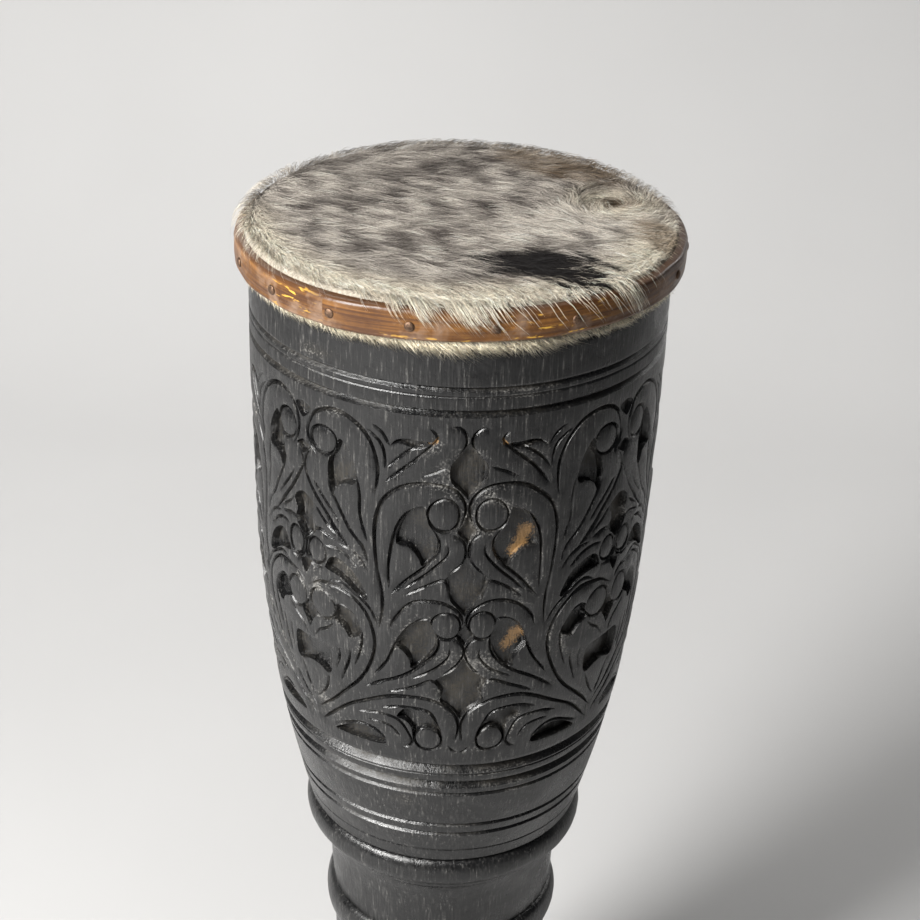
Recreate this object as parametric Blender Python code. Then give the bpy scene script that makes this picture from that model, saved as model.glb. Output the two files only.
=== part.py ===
"""Carved wooden goblet drum with a goatskin head, a nailed cane hoop and a turned foot.

Lengths are metres, +Z is up. The origin is the centre of the foot's underside. Depths are
measured down from the top of the skin. The carved belt is drawn once, for half of one
palmette tree, on a flat sheet of U (root axis to valley) and V (belt bottom to belt top),
then wrapped round the bowl, mirrored about each root axis and repeated for every tree.
"""
import bpy
import bmesh
from math import cos, hypot, pi, radians, sin
from mathutils import Matrix, Vector
from mathutils.geometry import delaunay_2d_cdt

# Overall sizes
HEAD_HEIGHT = 0.610
GAP = 0.0003

# Goatskin and hoop
SKIN = 0.0018
SKIN_SHOULDER = 0.0040
SKIRT_DEPTH = 0.0195
FRINGE_FLARE = 0.0016
HOOP_DEPTH = 0.0145
HOOP_TOP = 0.0006
HOOP_THICKNESS = 0.0046
HOOP_EDGE = 0.0012
LAP_ANGLE = -33.0
LAP_LENGTH = 36.0
LAP_RISE = 0.0011

# Nails
NAIL_COUNT = 18
NAIL_FIRST = -11.0
NAIL_DEPTH = 0.0082
NAIL_HEAD_RADIUS = 0.0022
NAIL_HEAD_HEIGHT = 0.0012
NAIL_SHANK_RADIUS = 0.0009
NAIL_LENGTH = 0.0140
NAIL_SIDES = 5

# Turned outside of the body
RIM_RADIUS = 0.1024
RIM_ROUND = 0.0015
COLLAR_DEPTH = 0.0225
BARREL_RADIUS = 0.1030
BOWL_START = 0.0630
BOWL_END = 0.3340
BOWL_DROP = 0.0282
BOWL_POWER = 2.75
BELT_TOP = 0.0560
BELT_BOTTOM = 0.2520
GROOVES_ABOVE = ((0.0417, 0.0024, 0.0013), (0.0543, 0.0034, 0.0022))
GROOVES_BELOW = ((0.2621, 0.0052, 0.0032), (0.2738, 0.0048, 0.0030),
                 (0.3085, 0.0030, 0.0016))
UPPER_BEAD = (0.3445, 0.0085, 0.0715, 0.0047)
COVE_TOP = (0.3560, 0.0705)
NECK = (0.3880, 0.0625)
LOWER_BEAD = (0.4095, 0.0100, 0.0615, 0.0041)
STEM = (0.4400, 0.0604)
FOOT_RADIUS = 0.0900
FOOT_HEIGHT = 0.0260
FOOT_BEAD = 0.0055
FOOT_CHAMFER = 0.0020

# Hollow of the body
WALL = 0.0140
BOWL_FLOOR = 0.2850
THROAT_DEPTH = 0.3450
THROAT_RADIUS = 0.0400
THROAT_LENGTH = 0.1100
FOOT_WALL = 0.0145

# Carved belt: tree axes in degrees, the drawing's own sheet and the cuts
ROOTS = (-43.5, 52.5, 140.5, 228.5)
SHEET_WIDTH = 47.5
SHEET_HEIGHT = 97.0
STEPS = 4
ROWS = 6
POCKET_DEPTH = 0.0038
CUT_HALF_WIDTH = 0.62
CUT_DEPTH = 0.0017
CHORD = 12.5


def height(depth):
    """Height above the floor of a depth below the skin's top."""
    return HEAD_HEIGHT - depth


def bowl_radius(depth):
    """Outer radius of the bowl: a straight barrel that pulls in by a power curve."""
    share = max(0.0, depth - BOWL_START) / (BOWL_END - BOWL_START)
    return BARREL_RADIUS - BOWL_DROP * share ** BOWL_POWER


def panel_halves():
    """Each half panel: its root axis, its turning sense and its width in degrees."""
    halves = []
    for index, root in enumerate(ROOTS):
        after = ROOTS[(index + 1) % len(ROOTS)]
        before = ROOTS[index - 1]
        halves.append((root, 1, ((after - root) % 360) / 2))
        halves.append((root, -1, ((root - before) % 360) / 2))
    return halves


def ring_angles():
    """Angles shared by every turned ring, so that rings meet the belt point for point."""
    angles = set()
    for root, sense, width in panel_halves():
        for step in range(STEPS + 1):
            angles.add(round((root + sense * width * step / STEPS) % 360, 6))
    return sorted(angles)


ANGLES = ring_angles()


def around(radius, angle, z):
    """Point at an angle in degrees, counted from -Y towards +X."""
    return Vector((radius * sin(radians(angle)), -radius * cos(radians(angle)), z))


def lathe(bm, profile, rise=None):
    """Turn a profile of (radius, z) round the axis. A radius of zero closes it with a fan."""
    rings = []
    for radius, z in profile:
        if radius == 0:
            rings.append([bm.verts.new((0, 0, z))])
        else:
            rings.append([bm.verts.new(around(radius + (rise(radius, a) if rise else 0), a, z))
                          for a in ANGLES])
    count = len(ANGLES)
    for low, high in zip(rings, rings[1:]):
        for i in range(count):
            j = (i + 1) % count
            corners = [low[i % len(low)], low[j % len(low)], high[j % len(high)], high[i % len(high)]]
            corners = list(dict.fromkeys(corners))
            bm.faces.new(corners)


def bead(depth, half_height, base, bulge, steps=3):
    """Half-round moulding going down: (radius, z) on half an ellipse."""
    return [(base + bulge * sin(pi * i / steps), height(depth - half_height * cos(pi * i / steps)))
            for i in range(steps + 1)]


def notch(depth, width, cut, radius_at):
    """V groove going down."""
    edge = width / 2
    return [(radius_at(depth - edge), height(depth - edge)), (radius_at(depth) - cut, height(depth)),
            (radius_at(depth + edge), height(depth + edge))]


def sweep(start, end, power_r, steps):
    """Points from start to end (depth, radius), the radius easing in by a power; start is left out."""
    points = []
    for i in range(1, steps + 1):
        share = i / steps
        depth = start[0] + (end[0] - start[0]) * share
        radius = start[1] + (end[1] - start[1]) * share ** power_r
        points.append((radius, height(depth)))
    return points


def cove():
    """Hollow moulding under the upper bead, a quarter ellipse down to the neck."""
    steps = 3
    points = []
    for i in range(steps + 1):
        turn = pi / 2 * i / steps
        points.append((COVE_TOP[1] - (COVE_TOP[1] - NECK[1]) * sin(turn),
                       height(NECK[0] - (NECK[0] - COVE_TOP[0]) * cos(turn))))
    return points


def outside_above():
    """Body outside from the belt's top edge up to the rim."""
    points = [(RIM_RADIUS - RIM_ROUND, height(SKIN + GAP)), (RIM_RADIUS, height(SKIN + GAP + RIM_ROUND)),
              (RIM_RADIUS, height(COLLAR_DEPTH - RIM_ROUND)), (BARREL_RADIUS, height(COLLAR_DEPTH))]
    for depth, width, cut in GROOVES_ABOVE:
        points += notch(depth, width, cut, bowl_radius)
    points[-1] = (bowl_radius(BELT_TOP), height(BELT_TOP))
    return list(reversed(points))


def hollow():
    """Inside of the body from the rim down to the foot's underside."""
    points = [(RIM_RADIUS - WALL, height(SKIN + GAP))]
    for depth in (BOWL_START, (BOWL_START + 2 * BOWL_FLOOR) / 3, BOWL_FLOOR):
        points.append((bowl_radius(depth) - WALL, height(depth)))
    wide = bowl_radius(BOWL_FLOOR) - WALL
    for turn in (pi / 4, pi / 2):
        points.append((THROAT_RADIUS + (wide - THROAT_RADIUS) * cos(turn),
                       height(BOWL_FLOOR + (THROAT_DEPTH - BOWL_FLOOR) * sin(turn))))
    throat_end = THROAT_DEPTH + THROAT_LENGTH
    points.append((THROAT_RADIUS, height(throat_end)))
    mouth = FOOT_RADIUS - FOOT_WALL
    points += sweep((throat_end, THROAT_RADIUS), (HEAD_HEIGHT, mouth), 1.7, 2)
    return points


def outside_below():
    """Body outside from the foot's underside up to the belt's bottom edge."""
    down = [(bowl_radius(BELT_BOTTOM), height(BELT_BOTTOM))]
    for depth, width, cut in GROOVES_BELOW:
        down += notch(depth, width, cut, bowl_radius)
    down.append((bowl_radius(BOWL_END), height(BOWL_END)))
    down += bead(*UPPER_BEAD)
    down += cove()
    down += bead(*LOWER_BEAD)
    foot_top = HEAD_HEIGHT - FOOT_HEIGHT
    down += sweep(STEM, (foot_top, FOOT_RADIUS - FOOT_BEAD), 2.0, 3)
    down += bead(HEAD_HEIGHT - FOOT_HEIGHT / 2, FOOT_HEIGHT / 2 - FOOT_CHAMFER,
                 FOOT_RADIUS - FOOT_BEAD, FOOT_BEAD)
    down.append((FOOT_RADIUS - FOOT_BEAD - FOOT_CHAMFER, height(HEAD_HEIGHT)))
    return list(reversed(down))


def arc(start, end, bulge):
    """Points of a circular arc between two places, without its end. Bulge is its rise to the
    left of the way from start to end, as a share of the chord."""
    chord = hypot(end[0] - start[0], end[1] - start[1])
    steps = max(2 if abs(bulge) > 0.09 else 1, round(chord * (1 + 2 * bulge * bulge) / CHORD))
    across = ((start[1] - end[1]) / chord, (end[0] - start[0]) / chord)
    points = []
    for i in range(steps):
        t = i / steps
        rise = 4 * bulge * chord * t * (1 - t)
        points.append((start[0] + (end[0] - start[0]) * t + across[0] * rise,
                       start[1] + (end[1] - start[1]) * t + across[1] * rise))
    return points


def outline(*legs):
    """Closed outline of arcs: each leg is (u, v, bulge towards the next leg's place)."""
    points = []
    for leg, after in zip(legs, legs[1:] + legs[:1]):
        points += arc(leg[:2], after[:2], leg[2])
    return points


def disc(u, v, radius, sides=6):
    """Round end of a scroll."""
    return [(u + radius * cos(2 * pi * i / sides), v + radius * sin(2 * pi * i / sides))
            for i in range(sides)]


def line(*legs):
    """Open line of arcs, for a groove."""
    points = []
    for leg, after in zip(legs, legs[1:]):
        points += arc(leg[:2], after[:2], leg[2])
    return points + [legs[-1][:2]]


EDGE = SHEET_WIDTH


def pockets():
    """Deep cuts between the leaves, bottom to top."""
    return [
        outline((6.5, 0.9, 0.2), (24.2, 2.4, 0.03)),
        outline((28.8, 10.9, 0.12), (37.0, 13.3, 0.12), (42.8, 4.6, -0.1), (38.1, 8.9, -0.3), (34, 3.4, -0.2)),
        outline((0, 19.8, 0.1), (5.6, 18.2, -0.15), (7.9, 24, 0.0), (6.5, 27, 0.0), (0, 27, 0)),
        outline((9, 36.4, 0.1), (10.4, 40.7, 0.14), (18.0, 36, 0.1), (13.9, 32.5, -0.12)),
        outline((0, 30.5, -0.1), (3, 35, 0.1), (0, 38.5, 0)),
        outline((EDGE, 12, 0.06), (40.8, 18, 0.1), (40.2, 23.8, -0.1), (EDGE, 31, 0)),
        outline((29.2, 33.4, -0.1), (34.2, 41.3, -0.1), (38.3, 42, -0.1), (39.8, 34.5, -0.14), (33, 27.4, 0.12)),
        outline((6.7, 49.6, 0.1), (9.5, 53.6, 0.1), (19.6, 44.8, -0.1)),
        outline((EDGE, 43.2, 0.06), (42.6, 49.5, -0.05), (43, 55.8, -0.05), (EDGE, 60.5, 0)),
        outline((0, 56, 0.0), (3.5, 59.5, 0.1), (3.5, 63.5, 0.0), (4.5, 66.5, 0.0), (0, 69, 0)),
        outline((29, 64.8, 0.12), (36.5, 73.5, -0.1), (40.1, 63.5, 0.12), (35.8, 58.6, -0.25)),
        outline((EDGE, 74.6, 0.0), (42.8, 79.5, -0.15), (44.2, 87, 0.0), (EDGE, 91.3, 0)),
        outline((6.3, 80, 0.2), (10.8, 85.8, -0.15), (17.2, 79, -0.15), (16.5, 76, 0.08), (10.5, 74, 0.12)),
        outline((26.9, 88.6, 0.2), (37.1, 90, -0.08)),
    ]


def islands():
    """Scroll ends left standing inside the pockets."""
    return [disc(38.2, 5.0, 3.3)]


def grooves():
    """Main lines that part one leaf from the next."""
    return [
        line((1.2, 6.2, 0.04), (17, 19.6, -0.1), (21.4, 39.2, -0.27), (6.5, 45.6, 0)),
        line((1.4, 2.2, 0.07), (28, 17.4, 0.12), (45.2, 13.8, 0)),
        line((19.5, 18.8, 0.04), (31.5, 25.4, -0.12), (39.4, 31.6, 0)),
        line((24.9, 27, 0.1), (24.4, 47, 0.03), (22.8, 64, 0.16), (31, 78.5, 0.12), (44.8, 77, 0)),
        line((27.8, 47.6, 0.05), (41, 59.6, 0)),
        line((22.6, 75.5, -0.16), (18.6, 90.6, -0.26), (3.1, 88.6, 0)),
        line((26, 79, 0.01), (38, 89, 0)),
        line((28, 40.2, 0.16), (36.5, 47.4, 0.14), (45.4, 44.2, 0)),
    ]


def inside(point, shape):
    """Whether a point lies in a closed outline."""
    u, v = point
    hit = False
    for (u0, v0), (u1, v1) in zip(shape, shape[1:] + shape[:1]):
        if (v0 > v) != (v1 > v) and u < u0 + (v - v0) * (u1 - u0) / (v1 - v0):
            hit = not hit
    return hit


def distance(point, start, end):
    """Distance from a point to a straight piece."""
    along = Vector(end) - Vector(start)
    share = (Vector(point) - Vector(start)).dot(along) / along.length_squared
    return (Vector(point) - Vector(start) - along * max(0.0, min(1.0, share))).length


def side_lines(centre):
    """The two edges of a groove and its middle, tapering to both tips."""
    left, right = [], []
    for i in range(1, len(centre) - 1):
        way = (Vector(centre[i + 1]) - Vector(centre[i - 1])).normalized() * CUT_HALF_WIDTH
        left.append((centre[i][0] - way.y, centre[i][1] + way.x))
        right.append((centre[i][0] + way.y, centre[i][1] - way.x))
    return [centre, centre[:1] + left + centre[-1:], centre[:1] + right + centre[-1:]]


def draw_sheet():
    """Triangulate the half-tree sheet.

    Gives its places, its triangles, whether each triangle is pocket floor, and the groove
    depth at each place.
    """
    cuts, kept, lines = pockets(), islands(), grooves()
    strokes = [shape + shape[:1] for shape in cuts + kept]
    for centre in lines:
        strokes += side_lines(centre)
    frame = [(SHEET_WIDTH * i / STEPS, 0.0) for i in range(STEPS + 1)]
    frame += [(SHEET_WIDTH, SHEET_HEIGHT * i / ROWS) for i in range(1, ROWS)]
    frame += [(SHEET_WIDTH * i / STEPS, SHEET_HEIGHT) for i in range(STEPS, -1, -1)]
    frame += [(0.0, SHEET_HEIGHT * i / ROWS) for i in range(ROWS - 1, 0, -1)]
    drawn = strokes + [frame + frame[:1]]
    pieces = [(a, b) for stroke in strokes for a, b in zip(stroke, stroke[1:])]
    places, edges = [], []
    for stroke in drawn:
        for a, b in zip(stroke, stroke[1:]):
            edges.append((len(places), len(places) + 1))
            places += [Vector(a), Vector(b)]
    for i in range(1, STEPS):
        for j in range(1, ROWS):
            spot = (SHEET_WIDTH * i / STEPS, SHEET_HEIGHT * j / ROWS)
            if min(distance(spot, a, b) for a, b in pieces) > CHORD / 2:
                places.append(Vector(spot))
    places, _, triangles, *_ = delaunay_2d_cdt(places, edges, [], 0, 1e-3)
    floor = []
    for triangle in triangles:
        middle = sum((places[k] for k in triangle), Vector((0, 0))) / len(triangle)
        floor.append(any(inside(middle, s) for s in cuts) and not any(inside(middle, s) for s in kept))
    on_centre = []
    for place in places:
        near = min(distance(place, a, b) for centre in lines for a, b in zip(centre, centre[1:]))
        tip = min((place - Vector(end)).length for centre in lines for end in (centre[0], centre[-1]))
        on_centre.append(CUT_DEPTH if near < CUT_HALF_WIDTH * 0.3 and tip > CUT_HALF_WIDTH else 0.0)
    return places, triangles, floor, on_centre


def carve_belt(bm):
    """Wrap the sheet on the bowl for every half panel, with steep walls round each pocket."""
    places, triangles, floor, cut = draw_sheet()
    sides = {}
    for index, triangle in enumerate(triangles):
        for a, b in zip(triangle, triangle[1:] + triangle[:1]):
            sides.setdefault(frozenset((a, b)), []).append((index, a, b))
    for root, sense, width in panel_halves():
        made = {}

        def vert(k, low):
            if (k, low) not in made:
                depth = BELT_BOTTOM - (BELT_BOTTOM - BELT_TOP) * places[k].y / SHEET_HEIGHT
                radius = bowl_radius(depth) - (POCKET_DEPTH if low else cut[k])
                angle = root + sense * width * places[k].x / SHEET_WIDTH
                made[(k, low)] = bm.verts.new(around(radius, angle, height(depth)))
            return made[(k, low)]

        for index, triangle in enumerate(triangles):
            bm.faces.new([vert(k, floor[index]) for k in triangle])
        for pair in sides.values():
            if len(pair) == 2 and floor[pair[0][0]] != floor[pair[1][0]]:
                (_, a, b) = pair[0]
                bm.faces.new([vert(a, True), vert(b, True), vert(b, False), vert(a, False)])


def finish_mesh(name, bm, colour, roughness, metallic=0.0, flat_angle=35.0):
    """Close a bmesh into an object with its own material."""
    bmesh.ops.remove_doubles(bm, verts=bm.verts, dist=0.000004)
    bmesh.ops.recalc_face_normals(bm, faces=bm.faces)
    mesh = bpy.data.meshes.new(name)
    bm.to_mesh(mesh)
    bm.free()
    mesh.shade_smooth()
    mesh.set_sharp_from_angle(angle=radians(flat_angle))
    material = bpy.data.materials.new(name)
    material.use_nodes = True
    shader = material.node_tree.nodes["Principled BSDF"]
    shader.inputs["Base Color"].default_value = (*colour, 1.0)
    shader.inputs["Roughness"].default_value = roughness
    shader.inputs["Metallic"].default_value = metallic
    mesh.materials.append(material)
    thing = bpy.data.objects.new(name, mesh)
    bpy.context.scene.collection.objects.link(thing)
    return thing


def make_body():
    """The carved wooden body: turned parts, hollow and carved belt, welded into one shell."""
    bm = bmesh.new()
    lathe(bm, outside_above() + hollow() + outside_below())
    carve_belt(bm)
    return finish_mesh("carved_body", bm, (0.022, 0.021, 0.020), 0.42)


def make_skin():
    """The goatskin: a shallow cap over the rim with a skirt that ends in a short fringe."""
    outer = RIM_RADIUS + GAP + SKIN
    inner = RIM_RADIUS + GAP
    foot = COLLAR_DEPTH - SKIRT_DEPTH
    low = height(SKIRT_DEPTH)
    lip = height(HOOP_DEPTH + GAP)
    profile = [(0, HEAD_HEIGHT), (outer - SKIN_SHOULDER, HEAD_HEIGHT),
               (outer, height(SKIN_SHOULDER)),
               (outer, lip), (outer + FRINGE_FLARE, low + foot * 0.3), (outer, low), (inner, low),
               (inner, height(SKIN + RIM_ROUND)), (inner - RIM_ROUND, height(SKIN)), (0, height(SKIN))]
    bm = bmesh.new()
    lathe(bm, profile)
    return finish_mesh("goatskin_head", bm, (0.42, 0.38, 0.34), 0.85)


def lap_rise(radius, angle):
    """The strip thickens towards the end that laps over its start, then steps down."""
    outer = RIM_RADIUS + 2 * GAP + SKIN + HOOP_THICKNESS
    behind = (angle - LAP_ANGLE) % 360
    if radius < outer - HOOP_EDGE * 1.5 or behind > LAP_LENGTH:
        return 0.0
    return LAP_RISE * (1 - behind / LAP_LENGTH)


def make_hoop():
    """The cane strip round the rim, a band with eased edges."""
    inner = RIM_RADIUS + 2 * GAP + SKIN
    outer = inner + HOOP_THICKNESS
    top, low = height(HOOP_TOP), height(HOOP_DEPTH)
    profile = [(inner, top), (outer - HOOP_EDGE, top), (outer, top - HOOP_EDGE), (outer, low + HOOP_EDGE),
               (outer - HOOP_EDGE, low), (inner, low), (inner, top)]
    bm = bmesh.new()
    lathe(bm, profile, lap_rise)
    return finish_mesh("hoop_band", bm, (0.28, 0.12, 0.035), 0.38)


def nail_angles():
    """Places of the nails round the hoop."""
    return [NAIL_FIRST + 360 * i / NAIL_COUNT for i in range(NAIL_COUNT)]


def seat_radius(angle):
    """Distance from the axis to the underside of a nail's head."""
    outer = RIM_RADIUS + 2 * GAP + SKIN + HOOP_THICKNESS
    return outer + GAP + lap_rise(outer, angle)


def nail_mesh():
    """A domed nail along +Z with the underside of its head at zero."""
    bm = bmesh.new()
    profile = [(0, NAIL_HEAD_HEIGHT), (NAIL_HEAD_RADIUS * 0.7, NAIL_HEAD_HEIGHT * 0.75),
               (NAIL_HEAD_RADIUS, 0), (NAIL_SHANK_RADIUS, 0), (0, -NAIL_LENGTH)]
    rings = []
    for radius, z in profile:
        sides = NAIL_SIDES if radius else 1
        rings.append([bm.verts.new((radius * cos(2 * pi * i / sides), radius * sin(2 * pi * i / sides), z))
                      for i in range(sides)])
    for high, low in zip(rings, rings[1:]):
        for i in range(NAIL_SIDES):
            j = (i + 1) % NAIL_SIDES
            corners = [high[i % len(high)], high[j % len(high)], low[j % len(low)], low[i % len(low)]]
            bm.faces.new(list(dict.fromkeys(corners)))
    return bm


def radial(angle, radius):
    """Placement whose +Z points out of the hoop at an angle."""
    out = around(1.0, angle, 0.0)
    spin = out.to_track_quat("Z", "Y").to_matrix().to_4x4()
    return Matrix.Translation(around(radius, angle, height(NAIL_DEPTH))) @ spin


def make_nails():
    """The nails, all of one mesh, each its own object."""
    first = finish_mesh("nail_01", nail_mesh(), (0.09, 0.075, 0.06), 0.45, 0.9)
    for index, angle in enumerate(nail_angles()):
        nail = first
        if index:
            nail = bpy.data.objects.new(f"nail_{index + 1:02d}", first.data)
            bpy.context.scene.collection.objects.link(nail)
        nail.matrix_world = radial(angle, seat_radius(angle))


def drill(targets):
    """Square clearance holes for the nails through hoop and skin and into the wood."""
    half = NAIL_SHANK_RADIUS + GAP
    outer = HOOP_THICKNESS * 2
    inner = NAIL_LENGTH + GAP * 2
    bm = bmesh.new()
    for angle in nail_angles():
        place = radial(angle, seat_radius(angle))
        size = Matrix.Diagonal((2 * half, 2 * half, outer + inner, 1))
        middle = Matrix.Translation((0, 0, (outer - inner) / 2))
        bmesh.ops.create_cube(bm, size=1, matrix=place @ middle @ size)
    cutter = finish_mesh("nail_holes", bm, (0.5, 0.1, 0.1), 0.5)
    cutter.hide_render = True
    cutter.display_type = "WIRE"
    for target in targets:
        cut = target.modifiers.new("nail holes", "BOOLEAN")
        cut.operation = "DIFFERENCE"
        cut.solver = "EXACT"
        cut.object = cutter


def main():
    """Clear the scene and make every piece."""
    for thing in list(bpy.data.objects):
        bpy.data.objects.remove(thing, do_unlink=True)
    drill([make_body(), make_skin(), make_hoop()])
    make_nails()


main()
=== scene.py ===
"""Looks of the carved goblet drum: ebonised carving, hair-on goatskin head, nailed cane hoop.

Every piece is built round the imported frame, in metres, with +Z up and the foot on the floor.
Depths are measured down from the top of the skin, azimuths in degrees from -Y towards +X.
The carved belt is drawn once, for half of one palmette tree, on a flat sheet of U (from the
tree's root axis to the valley) and V (from the belt's bottom to its top).
"""
import logging
import math
from dataclasses import dataclass, field
from enum import Enum
from typing import Sequence

import bpy
import numpy as np
from mathutils import Matrix, Vector
from mathutils.geometry import delaunay_2d_cdt

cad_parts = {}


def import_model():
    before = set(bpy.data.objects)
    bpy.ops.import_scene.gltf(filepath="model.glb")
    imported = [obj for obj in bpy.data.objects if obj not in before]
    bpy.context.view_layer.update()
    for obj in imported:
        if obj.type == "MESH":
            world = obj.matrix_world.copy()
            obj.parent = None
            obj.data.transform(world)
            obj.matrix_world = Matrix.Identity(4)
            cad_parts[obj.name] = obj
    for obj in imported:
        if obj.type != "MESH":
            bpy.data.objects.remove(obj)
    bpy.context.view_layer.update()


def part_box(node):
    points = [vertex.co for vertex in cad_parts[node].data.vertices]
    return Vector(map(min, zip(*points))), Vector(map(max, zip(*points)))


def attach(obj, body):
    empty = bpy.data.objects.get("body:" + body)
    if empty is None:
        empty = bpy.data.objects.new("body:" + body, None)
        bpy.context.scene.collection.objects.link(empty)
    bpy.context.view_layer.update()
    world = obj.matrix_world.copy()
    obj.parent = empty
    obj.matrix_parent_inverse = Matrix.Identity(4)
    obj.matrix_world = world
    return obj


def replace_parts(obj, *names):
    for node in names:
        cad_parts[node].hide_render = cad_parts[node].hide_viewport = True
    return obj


Array = np.ndarray
Points = Sequence[tuple[float, float]]
LOG = logging.getLogger("goblet_drum")
MM = 0.001
# The head's radius, the cane strip's two faces and the nails' depth below the skin
HEAD_RADIUS = 105.0 * MM
HOOP_INNER = 104.8 * MM
HOOP_OUTER = 109.4 * MM
NAIL_DEPTH = 8.2 * MM
# Stretch of a texture that is the same along all axes
EVEN = (1, 1, 1)
# Samples in each stretch of a drawn line before they are spread evenly
FLOW_SAMPLES = 12
# A length too small to matter, which keeps divisions from failing
TINY = 1e-9
# Directions, in radians, of the three corners of a hair's section
HAIR_CORNERS = (0.0, 2.0944, 4.1888)


def smooth(low: float, high: float, value: Array) -> Array:
    """Ease from 0 at low to 1 at high with a cubic that is level at both ends.

    Args:
        low: Value that gives 0.
        high: Value that gives 1.
        value: Where the curve is read.

    Returns:
        The eased share, 3t^2 - 2t^3 of the clipped straight share t.
    """
    share = np.clip((value - low) / (high - low), 0.0, 1.0)
    return share * share * (3 - 2 * share)


def bell(away: Array) -> Array:
    """A soft hump, exp(-away^2): 1 in its middle and next to nothing two widths away."""
    return np.exp(-(away ** 2))


def turn_from(middle: float, azimuth: Array) -> Array:
    """Degrees from one azimuth to others the short way round, -180 to 180."""
    return (azimuth - middle + 180) % 360 - 180


def level_unit(arrows: Array) -> Array:
    """Arrows in a plane, made 1 long."""
    return arrows / np.maximum(np.hypot(arrows[..., 0], arrows[..., 1]), TINY)[..., None]


def unit(arrows: Array) -> Array:
    """Arrows in space, made 1 long."""
    return arrows / np.maximum(np.linalg.norm(arrows, axis=-1), TINY)[..., None]


def quarter_left(arrows: Array) -> Array:
    """Arrows in a plane, turned a quarter to the left."""
    return np.stack([-arrows[..., 1], arrows[..., 0]], -1)


@dataclass(frozen=True)
class Swell:
    """Smooth hand-made unevenness: a sum of plane waves whose phases come from a seed."""

    seed: int
    waves: int = 9

    def at(self, around: Array, along: Array, around_rate: float, along_rate: float) -> Array:
        """Read the unevenness on a turned surface.

        Args:
            around: Azimuths in degrees.
            along: Heights in metres.
            around_rate: Rough number of swells in one turn.
            along_rate: Rough number of swells in one metre.

        Returns:
            Values of about -1 to 1 that meet themselves after a full turn.
        """
        rng = np.random.default_rng(self.seed)
        total = np.zeros_like(around, dtype=float)
        for _ in range(self.waves):
            turns = round(rng.uniform(-1, 1) * around_rate)
            rate = rng.uniform(-1, 1) * along_rate * 2 * math.pi
            total += np.sin(np.radians(around) * turns + along * rate + rng.uniform(0, 2 * math.pi))
        return total / math.sqrt(self.waves)


class Maths(Enum):
    """Math node operations that the expressions use."""

    ADD = "ADD"
    SUBTRACT = "SUBTRACT"
    MULTIPLY = "MULTIPLY"


class Term:
    """A value socket that takes part in Python sums; each operator adds its Math node."""

    def __init__(self, bench: "Bench", socket: bpy.types.NodeSocket) -> None:
        """Wrap a socket of a bench's shader tree."""
        self.bench = bench
        self.socket = socket

    def _join(self, kind: Maths, left: "Term | float", right: "Term | float") -> "Term":
        """Add the Math node for one operator."""
        return self.bench.node("ShaderNodeMath", {"operation": kind.value}, {0: left, 1: right})

    def __add__(self, other: "Term | float") -> "Term":
        """Sum."""
        return self._join(Maths.ADD, self, other)

    __radd__ = __add__

    def __mul__(self, other: "Term | float") -> "Term":
        """Product."""
        return self._join(Maths.MULTIPLY, self, other)

    __rmul__ = __mul__

    def __sub__(self, other: "Term | float") -> "Term":
        """Difference."""
        return self._join(Maths.SUBTRACT, self, other)

    def __rsub__(self, other: "Term | float") -> "Term":
        """Difference from a number."""
        return self._join(Maths.SUBTRACT, other, self)

    def over(self, low: float, high: float) -> "Term":
        """Share from low to high, held between 0 and 1."""
        settings = {"clamp": True}
        sockets = {"Value": self, "From Min": low, "From Max": high, "To Min": 0.0, "To Max": 1.0}
        return self.bench.node("ShaderNodeMapRange", settings, sockets, "Result")


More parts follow.
